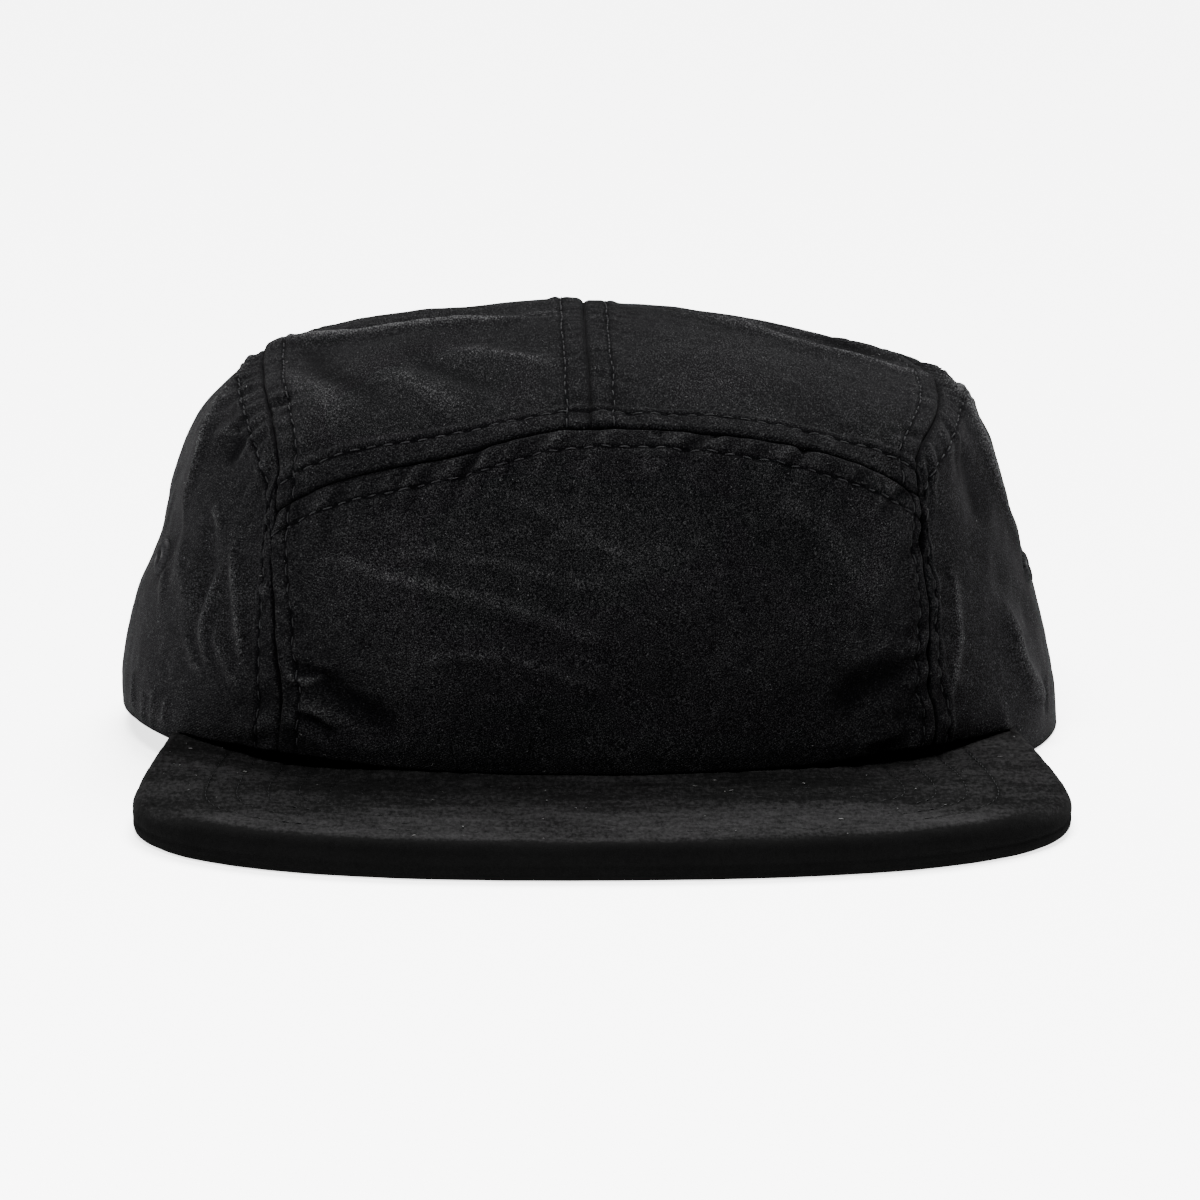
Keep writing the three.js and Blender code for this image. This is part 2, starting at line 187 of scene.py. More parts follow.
CRESTS = (
    Fold(
        ((-196, 6.6), (-186, 6.9), (-165, 8.13), (-150, 8.6), (-137, 8.85), (-124, 9.4)),
        3.0, 1.6, 1.4, 0.8,
    ),
    Fold(
        ((-190, 7.1), (-186, 6.88), (-186, 6.5), (-180, 6.26), (-170, 5.98), (-160, 5.3)),
        2.6, 1.5, 1.2, 0.6,
    ),
    Fold(((-166.5, 5.8), (-162, 5.3), (-158.5, 4.64), (-158.5, 3.74), (-159, 3.2)), 2.0, 1.3, 1.2, 0.6),
    Fold(((20, 9.4), (17, 8.98), (1, 8.35), (8, 7.2), (16, 6.3)), 2.8, 1.4, 1.3, 0.5),
    Fold(((20, 6.6), (14, 6.1), (0, 6.0), (-10, 5.84), (-18, 5.19), (-21, 4.2)), 2.8, 1.6, 1.3, 0.8),
    Fold(((-17, 5.4), (-20, 4.39), (-18, 3.72), (-14, 3.17), (-10, 2.7)), 2.8, 1.4, 1.3, 0.9),
    Fold(((-210, 7.0), (-206, 8.4), (-228, 9.5)), 6.0, 0.8, 1.8, 0.1),
    Fold(((-158, 8.9), (-152, 9.2), (-146, 9.45), (-118, 9.7)), 2.8, 1.0, 1.5, 0.55),
    Fold(
        ((-206, 6.5), (-196, 6.6), (-186, 6.9), (-165, 8.13), (-150, 8.6), (-137, 8.85),
         (-124, 9.4), (-112, 9.7)),
        2.8, 0.8, 1.5, 0.6,
    ),
    Fold(((-171, 6.1), (-164, 5.45), (-158.5, 4.64), (-158, 4.0)), 1.4, 0.8, 1.4, 0.7),
    Fold(((0, 6.0), (-10, 5.84), (-18, 5.19), (-20, 4.39), (-18, 3.7)), 3.2, 0.8, 1.5, 0.7),
    Fold(((14, 9.1), (-6, 8.35), (-13, 7.8), (-12, 7.2), (-5, 6.5), (2, 6.1)), 3.2, 1.0, 1.5, 0.9),
)
HOLLOWS = (
    Fold(((-197, 6.9), (-189, 7.4), (-177, 8.35), (-153, 9.1), (-142, 9.5)), 4.6, -2.5, 1.8, -0.7),
    Fold(((50, 8.9), (33, 8.0), (25, 7.0), (24, 6.4)), 5.5, -1.8, 2.0, -0.4),
    Fold(((-150, 5.6), (-149, 5.0), (-149, 4.3)), 5.0, -1.5, 2.0, -0.7),
    Fold(((-147, 6.2), (-143, 5.7)), 3.5, -0.9),
    Fold(((-30, 5.2), (-29, 4.3), (-27, 3.4)), 6.5, -1.5, 2.0, -0.5),
    Fold(((-150, 3.9), (-148, 3.0), (-147, 2.2)), 3.5, -1.0),
    Fold(((-30, 2.9), (-20, 2.4), (-13, 1.9)), 5.5, -1.0),
    Fold(((-131, 2.0), (-126, 1.8), (-121, 1.5), (-113, 1.1)), 3.8, -2.3, 1.6, -0.9),
    Fold(((-130, 1.25), (-126, 1.2), (-122, 0.95)), 2.6, -1.0, 1.6, -0.5),
    Fold(((-131, 2.5), (-127, 2.35)), 2.0, -0.7, 1.6, -0.3),
    Fold(((-47, 1.8), (-54, 1.75), (-62, 1.3)), 5.2, -2.2, 1.7, -0.9),
    Fold(((-47, 1.35), (-52, 1.15)), 2.6, -1.0, 1.6, -0.4),
    Fold(((-48, 1.0), (-56, 0.7)), 2.4, -0.7, 1.6, -0.3),
    Fold(((-18, 1.2), (-13, 0.8)), 3.5, -0.8),
    Fold(((-180, 7.1), (-160, 7.2), (-133, 6.65), (-120, 5.9)), 4.2, -1.2, 2.0, -0.5),
    Fold(((-142, 7.9), (-126, 7.41), (-114, 7.03), (-102, 6.4)), 4.2, -1.2, 2.0, -0.5),
    Fold(((-60, 5.9), (-50, 5.3)), 5.0, -0.8),
    Fold(((22, 8.7), (6, 8.1), (3, 7.4), (8, 6.6)), 4.0, -0.8, 1.8, -0.9),
)
CREASES = (
    Fold(((-158, 5.04), (-149, 5.21), (-144, 5.56)), 1.6, 0.7, 1.3, 0.5),
    Fold(((-143, 3.6), (-142, 3.14), (-140, 2.59), (-138, 2.12), (-136, 1.6)), 1.5, 1.3, 1.4, 0.7),
    Fold(((-149, 3.8), (-146, 3.45)), 1.8, 0.7, 1.5, 0.5),
    Fold(((-144, 3.1), (-146, 2.62), (-146, 2.24), (-145, 2.02), (-142, 1.6)), 1.7, 1.2, 1.4, 0.7),
    Fold(((-144, 2.3), (-140, 1.80), (-137, 1.45)), 1.4, 1.1, 1.4, 0.6),
    Fold(((-151, 2.2), (-148, 1.87), (-144, 1.55)), 1.5, 0.7, 1.4, 0.6),
    Fold(((-161, 3.25), (-156, 2.84), (-150, 2.44), (-148, 2.1)), 3.4, 1.0, 1.8, 0.3),
    Fold(((-163, 2.8), (-159, 2.3)), 1.8, 0.6, 1.5, 0.3),
    Fold(((-166, 1.4), (-165, 0.1)), 1.2, 0.55, 1.6, 0.5),
    Fold(((-160.5, 1.1), (-161, 0.0)), 1.1, 0.6, 1.6, 0.6),
    Fold(((-157.0, 1.3), (-158, 0.0)), 1.1, 0.5, 1.6, 0.4),
    Fold(((-153.5, 1.2), (-154.5, 0.2)), 1.0, 0.6, 1.6, 0.5),
    Fold(
        ((-131, 3.15), (-124, 3.26), (-116, 3.07), (-105, 2.84), (-97, 2.59), (-85, 2.2)),
        2.0, 0.95, 1.7, 0.5,
    ),
    Fold(((-121, 3.32), (-111, 3.34), (-102, 3.24), (-94, 3.07), (-83, 2.8)), 1.7, 0.7, 1.7, 0.35),
    Fold(((-106, 4.35), (-98, 3.97), (-92, 3.62), (-82, 3.1)), 1.9, 0.8, 1.7, 0.35),
    Fold(((-116, 1.8), (-111, 2.07), (-104, 2.14), (-98, 2.04), (-87, 1.65)), 1.7, 0.8, 1.7, 0.4),
    Fold(((-71, 4.6), (-66, 4.04), (-60, 3.64), (-56, 2.97), (-51, 2.45)), 3.2, 0.9, 1.8, 0.25),
    Fold(((-84, 5.1), (-84, 4.4)), 2.2, 0.5, 1.8, 0.25),
    Fold(((-39, 3.3), (-39, 2.37), (-40, 1.87), (-43, 1.1)), 1.6, 0.8, 1.4, 0.8),
    Fold(((-26, 2.6), (-25, 2.12), (-24, 1.62), (-20, 1.12), (-15, 0.7)), 3.4, 1.7, 1.6, 0.7),
    Fold(((-31, 0.9), (-29, 0.5)), 1.4, 0.6, 1.6, 0.4),
    Fold(((-163, 6.8), (-145, 6.55), (-137, 6.3), (-124, 5.4)), 4.0, 1.0, 1.8, 0.4),
    Fold(((-130, 7.95), (-113, 7.66), (-103, 7.46), (-97, 7.0)), 4.0, 1.0, 1.8, 0.5),
    Fold(((-134, 7.2), (-127, 6.98), (-115.5, 6.31), (-107, 5.6)), 4.0, 0.8, 1.8, 0.4),
    Fold(((-131, 2.2), (-127, 1.95), (-122, 2.0)), 1.5, 0.8, 1.5, 0.5),
    Fold(((-131, 1.8), (-127.5, 1.72), (-124.5, 1.84)), 1.2, 1.3, 1.3, 1.3),
    Fold(((-129, 1.38), (-126, 1.34), (-122.5, 1.12)), 1.2, 1.1, 1.3, 1.0),
    Fold(((-130, 1.5), (-126, 1.45), (-119, 1.1)), 1.5, 0.7, 1.5, 0.4),
    Fold(((-48, 2.1), (-53, 2.15), (-60, 1.9)), 2.2, 0.7, 1.6, 0.3),
    Fold(((-48, 1.05), (-53, 0.95), (-58, 0.9)), 1.6, 0.6, 1.5, 0.3),
    Fold(((-82, 5.5), (-82, 5.28)), 1.2, -1.0, 1.6),
    Fold(((-74, 5.43), (-74, 5.2)), 1.2, -0.9, 1.6),
    Fold(((-62, 5.14), (-62, 4.95)), 1.2, -0.8, 1.6),
)
BACK_FOLDS = (
    Fold(((60, 4.8), (68, 4.1), (76, 3.2)), 4.5, 1.0, 1.6, 0.4),
    Fold(((128, 4.9), (118, 4.2), (110, 3.4)), 4.5, 1.0, 1.6, 0.4),
    Fold(((152, 3.6), (147, 2.6), (143, 1.5)), 6.0, -1.1),
    Fold(((160, 4.4), (155, 3.3), (154, 2.2)), 3.5, 1.0, 1.5, 0.5),
    Fold(((31, 3.8), (36, 2.8), (39, 1.8)), 6.0, -1.0),
    Fold(((22, 4.2), (27, 3.1), (29, 1.9)), 3.5, 1.0, 1.5, 0.5),
    Fold(((98, 6.6), (100, 5.4), (97, 4.3)), 5.0, -0.9),
    Fold(((72, 7.4), (80, 6.6), (84, 5.6)), 4.0, 0.8, 1.6, 0.4),
)


@dataclass
class CrownForm:
    """The form of the whole crown, read by azimuth and ring level."""

    centre_y: float = 33.0
    lean: float = 0.024
    lean_full_level: float = 7.0
    lift: float = 5.0
    lift_azimuth: float = 196.0
    lift_reach: float = 38.0
    cloth: float = 1.4
    fold_reach: float = 3.0
    fold_fade: float = 0.3
    wear_and_painted_light_width: float = 0.55
    folds: tuple[Fold, ...] = CRESTS + HOLLOWS + CREASES + BACK_FOLDS
    columns: tuple[str, ...] = ("side", "side_z", "front", "front_z", "back", "back_z", "square", "shift")
    rings: tuple[tuple[float, ...], ...] = (
        (95.5, 0.0, 91.0, 0.0, 91.0, 0.0, 2.05, 0.0),
        (95.0, 10.0, 91.6, 12.0, 91.0, 10.0, 2.05, -0.4),
        (92.3, 24.0, 91.2, 28.0, 89.5, 24.0, 2.1, -0.5),
        (87.5, 39.0, 89.6, 44.0, 86.5, 37.0, 2.15, -0.3),
        (83.5, 53.0, 86.6, 59.0, 81.5, 50.0, 2.25, 0.0),
        (79.6, 62.5, 81.5, 69.0, 75.5, 59.5, 2.35, 0.4),
        (72.5, 69.5, 73.0, 75.0, 67.5, 67.0, 2.4, 0.4),
        (60.5, 75.3, 60.0, 79.8, 55.0, 74.4, 2.35, 0.2),
        (42.0, 79.8, 42.0, 83.2, 39.0, 80.0, 2.2, 0.0),
        (21.0, 82.9, 21.0, 84.8, 20.0, 83.4, 2.1, 0.0),
        (0.0, 84.4, 0.0, 84.4, 0.0, 84.4, 2.0, 0.0),
    )
    radius_columns: tuple[str, ...] = ("side", "front", "back")

    def __post_init__(self) -> None:
        """Sets up the tables of rings and folds."""
        self.top_level = len(self.rings) - 1
        self.table = {name: np.array(values) for name, values in zip(self.columns, zip(*self.rings))}
        drawn = [curve_through(np.array(fold.path, float), 6) for fold in self.folds]
        self.fold_lines = [self.on_smooth(line) for line in drawn]

    def ring_value(self, column: str, level: Array) -> Array:
        """Reads one column of the ring table.

        Args:
            column: The column's name.
            level: Ring levels, from 0 at the hem.

        Returns:
            The column's smooth value at each level.
        """
        values = self.table[column]
        mirror = -1.0 if column in self.radius_columns else 1.0
        ends = np.concatenate([[2 * values[0] - values[1]], values, [mirror * values[-2]]])
        i = np.clip(np.floor(level).astype(int), 0, self.top_level - 1)
        t = level - i
        a, b, c, d = (ends[i + k] for k in range(4))
        cubic = 3 * b - a - 3 * c + d
        return 0.5 * (2 * b + (c - a) * t + (2 * a - 5 * b + 4 * c - d) * t**2 + cubic * t**3)

    def on_smooth(self, places: Array) -> Array:
        """Finds points of the crown without its folds.

        Args:
            places: Azimuths in degrees and ring levels along the last axis.

        Returns:
            The points, in mm.
        """
        azimuth = np.radians(places[..., 0])
        level = np.clip(places[..., 1], 0.0, self.top_level)
        c, s = np.cos(azimuth), np.sin(azimuth)
        ring = {name: self.ring_value(name, level) for name in self.columns}
        reach = np.maximum(np.where(s < 0, ring["front"], ring["back"]), 1e-6)
        end_z = np.where(s < 0, ring["front_z"], ring["back_z"])
        side = np.maximum(ring["side"], 1e-6)
        oval = (np.abs(c) / side) ** ring["square"] + (np.abs(s) / reach) ** ring["square"]
        radius = oval ** (-1.0 / ring["square"])
        lean = self.lean * radius * c * np.clip(level / self.lean_full_level, 0, 1) ** 2
        z = ring["side_z"] * c**2 + end_z * s**2 - lean + self.lifted(places[..., 0], level)
        return np.stack([ring["shift"] + radius * c, self.centre_y + radius * s, z], -1)

    def lifted(self, azimuth: Array, level: Array) -> Array:
        """Reads how far the hem stands off the table, at azimuths in degrees and ring levels."""
        turned = (azimuth + 360.0) % 360.0 - self.lift_azimuth
        return self.lift * np.exp(-((turned / self.lift_reach) ** 2)) * smoothstep(1.6, 0.0, level)

    def normals(self, places: Array) -> Array:
        """Finds the outward directions of the crown without its folds.

        Args:
            places: Azimuths in degrees and ring levels along the last axis.

        Returns:
            Outward directions of length one.
        """
        step = 0.02
        inside = places.copy()
        inside[..., 1] = np.minimum(inside[..., 1], self.top_level - 2 * step)
        round_step = self.on_smooth(inside + [step, 0.0]) - self.on_smooth(inside - [step, 0.0])
        up_step = self.on_smooth(inside + [0.0, step]) - self.on_smooth(inside - [0.0, step])
        return unit(np.cross(round_step, up_step))

    def from_disc(self, disc: Array) -> Array:
        """Turns places on a flat disc, whose rim is the hem, into azimuths and ring levels.

        Args:
            disc: Two coordinates along the last axis, with a reach of 1 at the hem.

        Returns:
            Azimuths in degrees and ring levels.
        """
        reach = np.hypot(disc[..., 0], disc[..., 1])
        azimuth = np.degrees(np.arctan2(disc[..., 1], disc[..., 0]))
        return np.stack([azimuth, self.top_level * (1.0 - reach)], -1)

    def to_disc(self, places: Array) -> Array:
        """Turns azimuths and ring levels into places on the flat disc.

        Args:
            places: Azimuths in degrees and ring levels along the last axis.

        Returns:
            Two coordinates along the last axis.
        """
        azimuth = np.radians(places[..., 0])
        reach = 1.0 - places[..., 1] / self.top_level
        return np.stack([reach * np.cos(azimuth), reach * np.sin(azimuth)], -1)

    def folded(self, points: Array) -> tuple[Array, Array]:
        """Adds up the folds at points of the smooth crown.

        Args:
            points: Points of the smooth crown, in mm.

        Returns:
            How far the folds push the cloth out, and how much paler they paint it (wear and painted
            highlight) or, below 0, how much painted shade.
        """
        flat = points.reshape(-1, 3)
        height = np.zeros(len(flat))
        wear_and_painted_light = np.zeros(len(flat))
        for fold, line in zip(self.folds, self.fold_lines):
            middle = line.mean(axis=0)
            reach = np.linalg.norm(line - middle, axis=1).max() + self.fold_reach * fold.width
            near = np.nonzero(np.linalg.norm(flat - middle, axis=1) < reach)[0]
            if len(near) == 0:
                continue
            distance, place = distance_to_line(flat[near], line)
            taper = smoothstep(0.0, self.fold_fade, place) * smoothstep(1.0, 1.0 - self.fold_fade, place)
            shape = np.exp(-((distance / fold.width) ** fold.sharpness)) * taper
            height[near] += fold.height * shape
            # Paler band along each fold: wear and painted highlight, or painted shade where below 0.
            band = np.exp(-((distance / (self.wear_and_painted_light_width * fold.width)) ** 2)) * taper
            wear_and_painted_light[near] += fold.wear_and_painted_light * band
        return height.reshape(points.shape[:-1]), wear_and_painted_light.reshape(points.shape[:-1])


def distance_to_line(points: Array, line: Array) -> tuple[Array, Array]:
    """Measures points against a line of straight pieces.

    Args:
        points: The points, one a row.
        line: The line's points, one a row.

    Returns:
        Each point's distance, and how far along the line its nearest place is, from 0 to 1.
    """
    along = lengths_along(line)
    best = np.full(len(points), np.inf)
    place = np.zeros(len(points))
    for i, (start, end) in enumerate(zip(line, line[1:])):
        step = end - start
        length = max(float(np.linalg.norm(step)), 1e-9)
        t = np.clip((points - start) @ step / length**2, 0.0, 1.0)
        distance = np.linalg.norm(points - start - t[:, None] * step, axis=1)
        nearer = distance < best
        best = np.where(nearer, distance, best)
        place = np.where(nearer, (along[i] + t * length) / along[-1], place)
    return best, place


def object_from_mesh(
    name: str, vertices: Array, faces: Array | list, smooth: bool = True
) -> bpy.types.Object:
    """Makes a mesh object from points in millimetres.

    Args:
        name: The object's name.
        vertices: Points, one a row, in mm.
        faces: Corner numbers of each face.
        smooth: Whether its faces are shaded smooth.

    Returns:
        The object, linked to the scene.
    """
    mesh = bpy.data.meshes.new(name)
    mesh.from_pydata((np.asarray(vertices) * MM).tolist(), [], np.asarray(faces).tolist())
    if smooth:
        mesh.shade_smooth()
    mesh.validate()
    piece = bpy.data.objects.new(name, mesh)
    bpy.context.scene.collection.objects.link(piece)
    return piece


def smooth_object(name: str, points: Array, faces: list[list[int]]) -> bpy.types.Object:
    """Makes a smooth mesh object whose faces may have any number of corners.

    Args:
        name: The object's name.
        points: Points along the last axis, in mm.
        faces: Corner numbers of each face.

    Returns:
        The object, linked to the scene.
    """
    mesh = bpy.data.meshes.new(name)
    mesh.from_pydata((points.reshape(-1, 3) * MM).tolist(), [], faces)
    mesh.shade_smooth()
    piece = bpy.data.objects.new(name, mesh)
    bpy.context.scene.collection.objects.link(piece)
    return piece


def add_float_attribute(piece: bpy.types.Object, name: str, values: Array) -> None:
    """Stores one number for each vertex of a piece.

    Args:
        piece: The mesh object.
        name: The attribute's name.
        values: One number for each vertex.
    """
    attribute = piece.data.attributes.new(name, "FLOAT", "POINT")
    attribute.data.foreach_set("value", np.asarray(values, np.float32).ravel())


def add_cloth_map(piece: bpy.types.Object, per_vertex: Array) -> None:
    """Gives a piece a UV map measured in metres of cloth.

    Args:
        piece: The mesh object.
        per_vertex: Two coordinates for each vertex, in mm.
    """
    layer = piece.data.uv_layers.new(name="cloth")
    corners = np.empty(len(piece.data.loops), np.int32)
    piece.data.loops.foreach_get("vertex_index", corners)
    layer.data.foreach_set("uv", (per_vertex[corners] * MM).astype(np.float32).ravel())


@dataclass
class Shell:
    """A grid of cloth with an outer and an inner face, closed at its edges and round its holes."""

    outer: Array
    inner: Array
    keep: Array

    def faces(self) -> Array:
        """Lists the corners of every face: both sides of the cloth and the walls between them.

        Returns:
            Corner numbers, four for each face.
        """
        columns, rows = self.outer.shape[:2]
        number = np.arange(columns * rows).reshape(columns, rows)
        back = number + columns * rows
        i, j = np.nonzero(self.keep)
        outside = [number[i, j], number[i + 1, j], number[i + 1, j + 1], number[i, j + 1]]
        inside = [back[i, j], back[i, j + 1], back[i + 1, j + 1], back[i + 1, j]]
        padded = np.pad(self.keep, 1)
        walls = []
        # each side of a cell: its neighbour, and the two corners of the side in the outer face's order
        sides = (
            ((0, -1), (0, 0), (1, 0)),
            ((1, 0), (1, 0), (1, 1)),
            ((0, 1), (1, 1), (0, 1)),
            ((-1, 0), (0, 1), (0, 0)),
        )
        for (di, dj), (ai, aj), (bi, bj) in sides:
            neighbour = padded[1 + di : di + columns, 1 + dj : dj + rows]
            i_edge, j_edge = np.nonzero(self.keep & ~neighbour)
            a, b = (i_edge + ai, j_edge + aj), (i_edge + bi, j_edge + bj)
            walls.append(np.stack([number[b], number[a], back[a], back[b]], -1))
        return np.vstack([np.stack(outside, -1), np.stack(inside, -1), *walls])

    def build(self, name: str) -> tuple[bpy.types.Object, Array]:
        """Makes the mesh object, without the points that no face uses.

        Args:
            name: The object's name.

        Returns:
            The object, and for each of its vertices the number of its grid point.
        """
        points = np.vstack([self.outer.reshape(-1, 3), self.inner.reshape(-1, 3)])
        faces = self.faces()
        used, renumbered = np.unique(faces, return_inverse=True)
        piece = object_from_mesh(name, points[used], renumbered.reshape(faces.shape))
        return piece, used % (len(points) // 2)


class EdgeKind(Enum):
    """How an edge of a crown panel is finished."""

    SEAM = "sewn to its neighbour and topstitched"
    RAISED_SEAM = "sewn over its neighbour and topstitched"
    HEM = "turned under at the rim"
    OPENING = "turned under and stitched round the back opening"


@dataclass(frozen=True)
class SeamShape:
    """The relief of the cloth beside a topstitched seam, in mm from the seam."""

    roll: float = 0.6
    roll_depth: float = 0.6
    raised_roll: float = 1.0
    allowance: float = 2.0
    allowance_rise: float = 1.2
    allowance_fall: tuple[float, float] = (1.0, 0.8)
    allowance_height: float = 0.42
    raised_height: float = 0.62
    stitch_groove: float = 0.36
    stitch_groove_width: float = 0.55
    pitch: float = 3.55
    pucker: float = 0.26
    pucker_slant: float = 0.35
    crevice_width: float = 0.4

    def roll_at(self, kind: EdgeKind, distance: Array) -> Array:
        """Reads how far a turned edge drops.

        Args:
            kind: How the edge is finished.
            distance: Distance from the edge, in mm.

        Returns:
            The height against the plain cloth, in mm: 0 or less.
        """
        reach = self.raised_roll if kind is EdgeKind.RAISED_SEAM else self.roll
        t = 1.0 - np.clip(distance / reach, 0.0, 1.0)
        return -(self.roll_depth + reach - self.roll) * (1.0 - np.sqrt(1.0 - t**2))

    def relief(self, kind: EdgeKind, distance: Array, along: Array, seed: int, stitch: float) -> Array:
        """Works out the height of the cloth beside an edge.

        Args:
            kind: How the edge is finished.
            distance: Distance from the edge, in mm.
            along: Place along the edge, in mm.
            seed: Seed for the puckers.
            stitch: Distance of the topstitching from the edge, in mm.

        Returns:
            The height over the plain cloth, in mm.
        """
        height = self.roll_at(kind, distance)
        if kind is EdgeKind.HEM:
            return height
        allowance = 2.0 * stitch if kind is EdgeKind.OPENING else stitch + self.allowance
        lift = self.raised_height if kind is EdgeKind.RAISED_SEAM else self.allowance_height
        beyond, before = self.allowance_fall
        band = smoothstep(allowance + beyond, allowance - before, distance)
        height = height + lift * smoothstep(0.0, self.allowance_rise, distance) * band
        needle = 0.88 + 0.12 * np.cos(2 * math.pi * along / self.pitch)
        groove = np.exp(-(((distance - stitch) / self.stitch_groove_width) ** 2))
        height = height - self.stitch_groove * groove * needle
        return height + self.pucker * self.puckers(distance, along, seed, stitch)

    def puckers(self, distance: Array, along: Array, seed: int, stitch: float) -> Array:
        """Draws the cloth up into short slanting waves along the stitching.

        Args:
            distance: Distance from the edge, in mm.
            along: Place along the edge, in mm.
            seed: Seed for the waves.
            stitch: Distance of the topstitching from the edge, in mm.

        Returns:
            The waves, of about -1 to 1 by the stitching and 0 far from it.
        """
        slant = np.stack([along + self.pucker_slant * distance], -1)
        waves = Undulation(seed, 4.5, 15.0, 12).at(slant)
        near = np.exp(-(((distance - 0.7 * stitch) / 2.6) ** 2))
        beyond = np.exp(-(((distance - 1.7 * stitch) / 3.4) ** 2))
        return waves * (near + 0.35 * beyond)

    def darkness(self, kind: EdgeKind, distance: Array, stitch: float) -> Array:
        """Reads how much a seam's crevice and its stitched groove hide from the light.

        Args:
            kind: How the edge is finished.
            distance: Distance from the edge, in mm.
            stitch: Distance of the topstitching from the edge, in mm.

        Returns:
            The darkness, from 0 to 1 at each of the two.
        """
        crevice = np.exp(-((distance / self.crevice_width) ** 2))
        # Painted shade along the lower edge of the turned hem.
        if kind is EdgeKind.HEM:
            return 0.9 * np.exp(-((distance / 0.9) ** 2))
        return crevice + np.exp(-(((distance - stitch) / self.crevice_width) ** 2))


@dataclass
class SeamLine:
    """A line on the crown, given by azimuths and ring levels."""

    form: CrownForm
    path: Path

    def __post_init__(self) -> None:
        """Draws the line on the flat disc and measures it on the crown."""
        knots = self.form.to_disc(np.array(self.path, float))
        self.disc = curve_through(knots, 20)
        self.length_to = lengths_along(self.form.on_smooth(self.form.from_disc(self.disc)))

    @property
    def length(self) -> float:
        """The line's length on the crown, in mm."""
        return float(self.length_to[-1])

    def at(self, places: Array) -> Array:
        """Reads disc coordinates at places from 0 to 1 along the line."""
        reach = places * self.length
        return np.stack([np.interp(reach, self.length_to, self.disc[:, k]) for k in range(2)], -1)

    def backwards(self) -> "SeamLine":
        """Gives the same line from its other end."""
        return SeamLine(self.form, self.path[::-1])


def hem_path(start: float, end: float) -> Path:
    """Lists places along the hem.

    Args:
        start: The first azimuth, in degrees.
        end: The last azimuth.

    Returns:
        Azimuths and ring levels, a few degrees apart.
    """
    count = int(abs(end - start) / 5) + 2
    return tuple((float(azimuth), 0.0) for azimuth in np.linspace(start, end, count))


@dataclass
class Pattern:
    """The seam lines of the crown, as azimuths and ring levels."""

    form: CrownForm
    left_wall: Path = (
        (-131.8, 0), (-131.4, 0.8), (-131, 1.5), (-132.4, 2.1), (-133.6, 2.6), (-134.6, 3.1),
        (-134.6, 3.78),
    )
    left_shoulder: Path = (
        (-134.6, 3.78), (-135.6, 4.3), (-137, 4.75), (-142, 5.45), (-151, 6.1), (-162, 6.43),
        (-181, 6.58), (-199.3, 6.62), (-217, 6.4), (-229.9, 5.86), (-237.6, 5.05), (-241.8, 4.3),
        (-244.4, 3.7), (-246.5, 3.21), (-248.2, 2.5), (-249, 1.79),
    )
    right_wall: Path = (
        (-46.3, 0), (-44.8, 1.1), (-45.6, 1.5), (-45.2, 2.1), (-44.4, 2.5), (-44.8, 3.0),
        (-44.4, 3.6), (-44.6, 4.05),
    )
    right_shoulder: Path = (
        (-44.6, 4.05), (-44.4, 4.4), (-43, 4.81), (-38, 5.31), (-27, 5.92), (-11.5, 6.24),
        (1, 6.38), (18.6, 6.49), (36.3, 6.35), (49.4, 5.86), (57.4, 5.1), (61.8, 4.33),
        (64.5, 3.68), (66.5, 3.16), (68.3, 2.5), (69, 1.79),
    )
    arch_left: Path = (
        (-134.6, 3.78), (-128.5, 4.19), (-122, 4.49), (-115.5, 4.7), (-108.5, 4.93), (-102, 5.24),
        (-95.5, 5.48), (-91.5, 5.52),
    )
    arch_right: Path = (
        (-91.5, 5.52), (-86.5, 5.54), (-78, 5.49), (-71, 5.38), (-63.5, 5.16), (-56, 4.86),
        (-50, 4.48), (-44.6, 4.05),
    )
    centre: Path = (
        (-91.5, 5.52), (-91.6, 7.0), (-94, 9.0), (92, 8.8), (90.6, 7.0), (90.3, 5.0), (90.0, 3.37),
    )
    opening_left: Path = ((-246.3, 0), (-246.9, 1.07), (-249, 1.79))
    opening_top_left: Path = ((-249, 1.79), (-252.7, 2.43), (-257.5, 2.95), (-263.4, 3.27), (-270, 3.37))
    opening_top_right: Path = ((90, 3.37), (83.4, 3.27), (77.5, 2.95), (72.7, 2.43), (69, 1.79))
    opening_right: Path = ((66.3, 0), (66.9, 1.07), (69, 1.79))

    def line(self, *paths: Path) -> SeamLine:
        """Joins paths that share their ends into one line.

        Args:
            paths: The paths, each starting where the one before it ends.

        Returns:
            The line.
        """
        joined = list(paths[0])
        for path in paths[1:]:
            joined += list(path[1:])
        return SeamLine(self.form, tuple(joined))


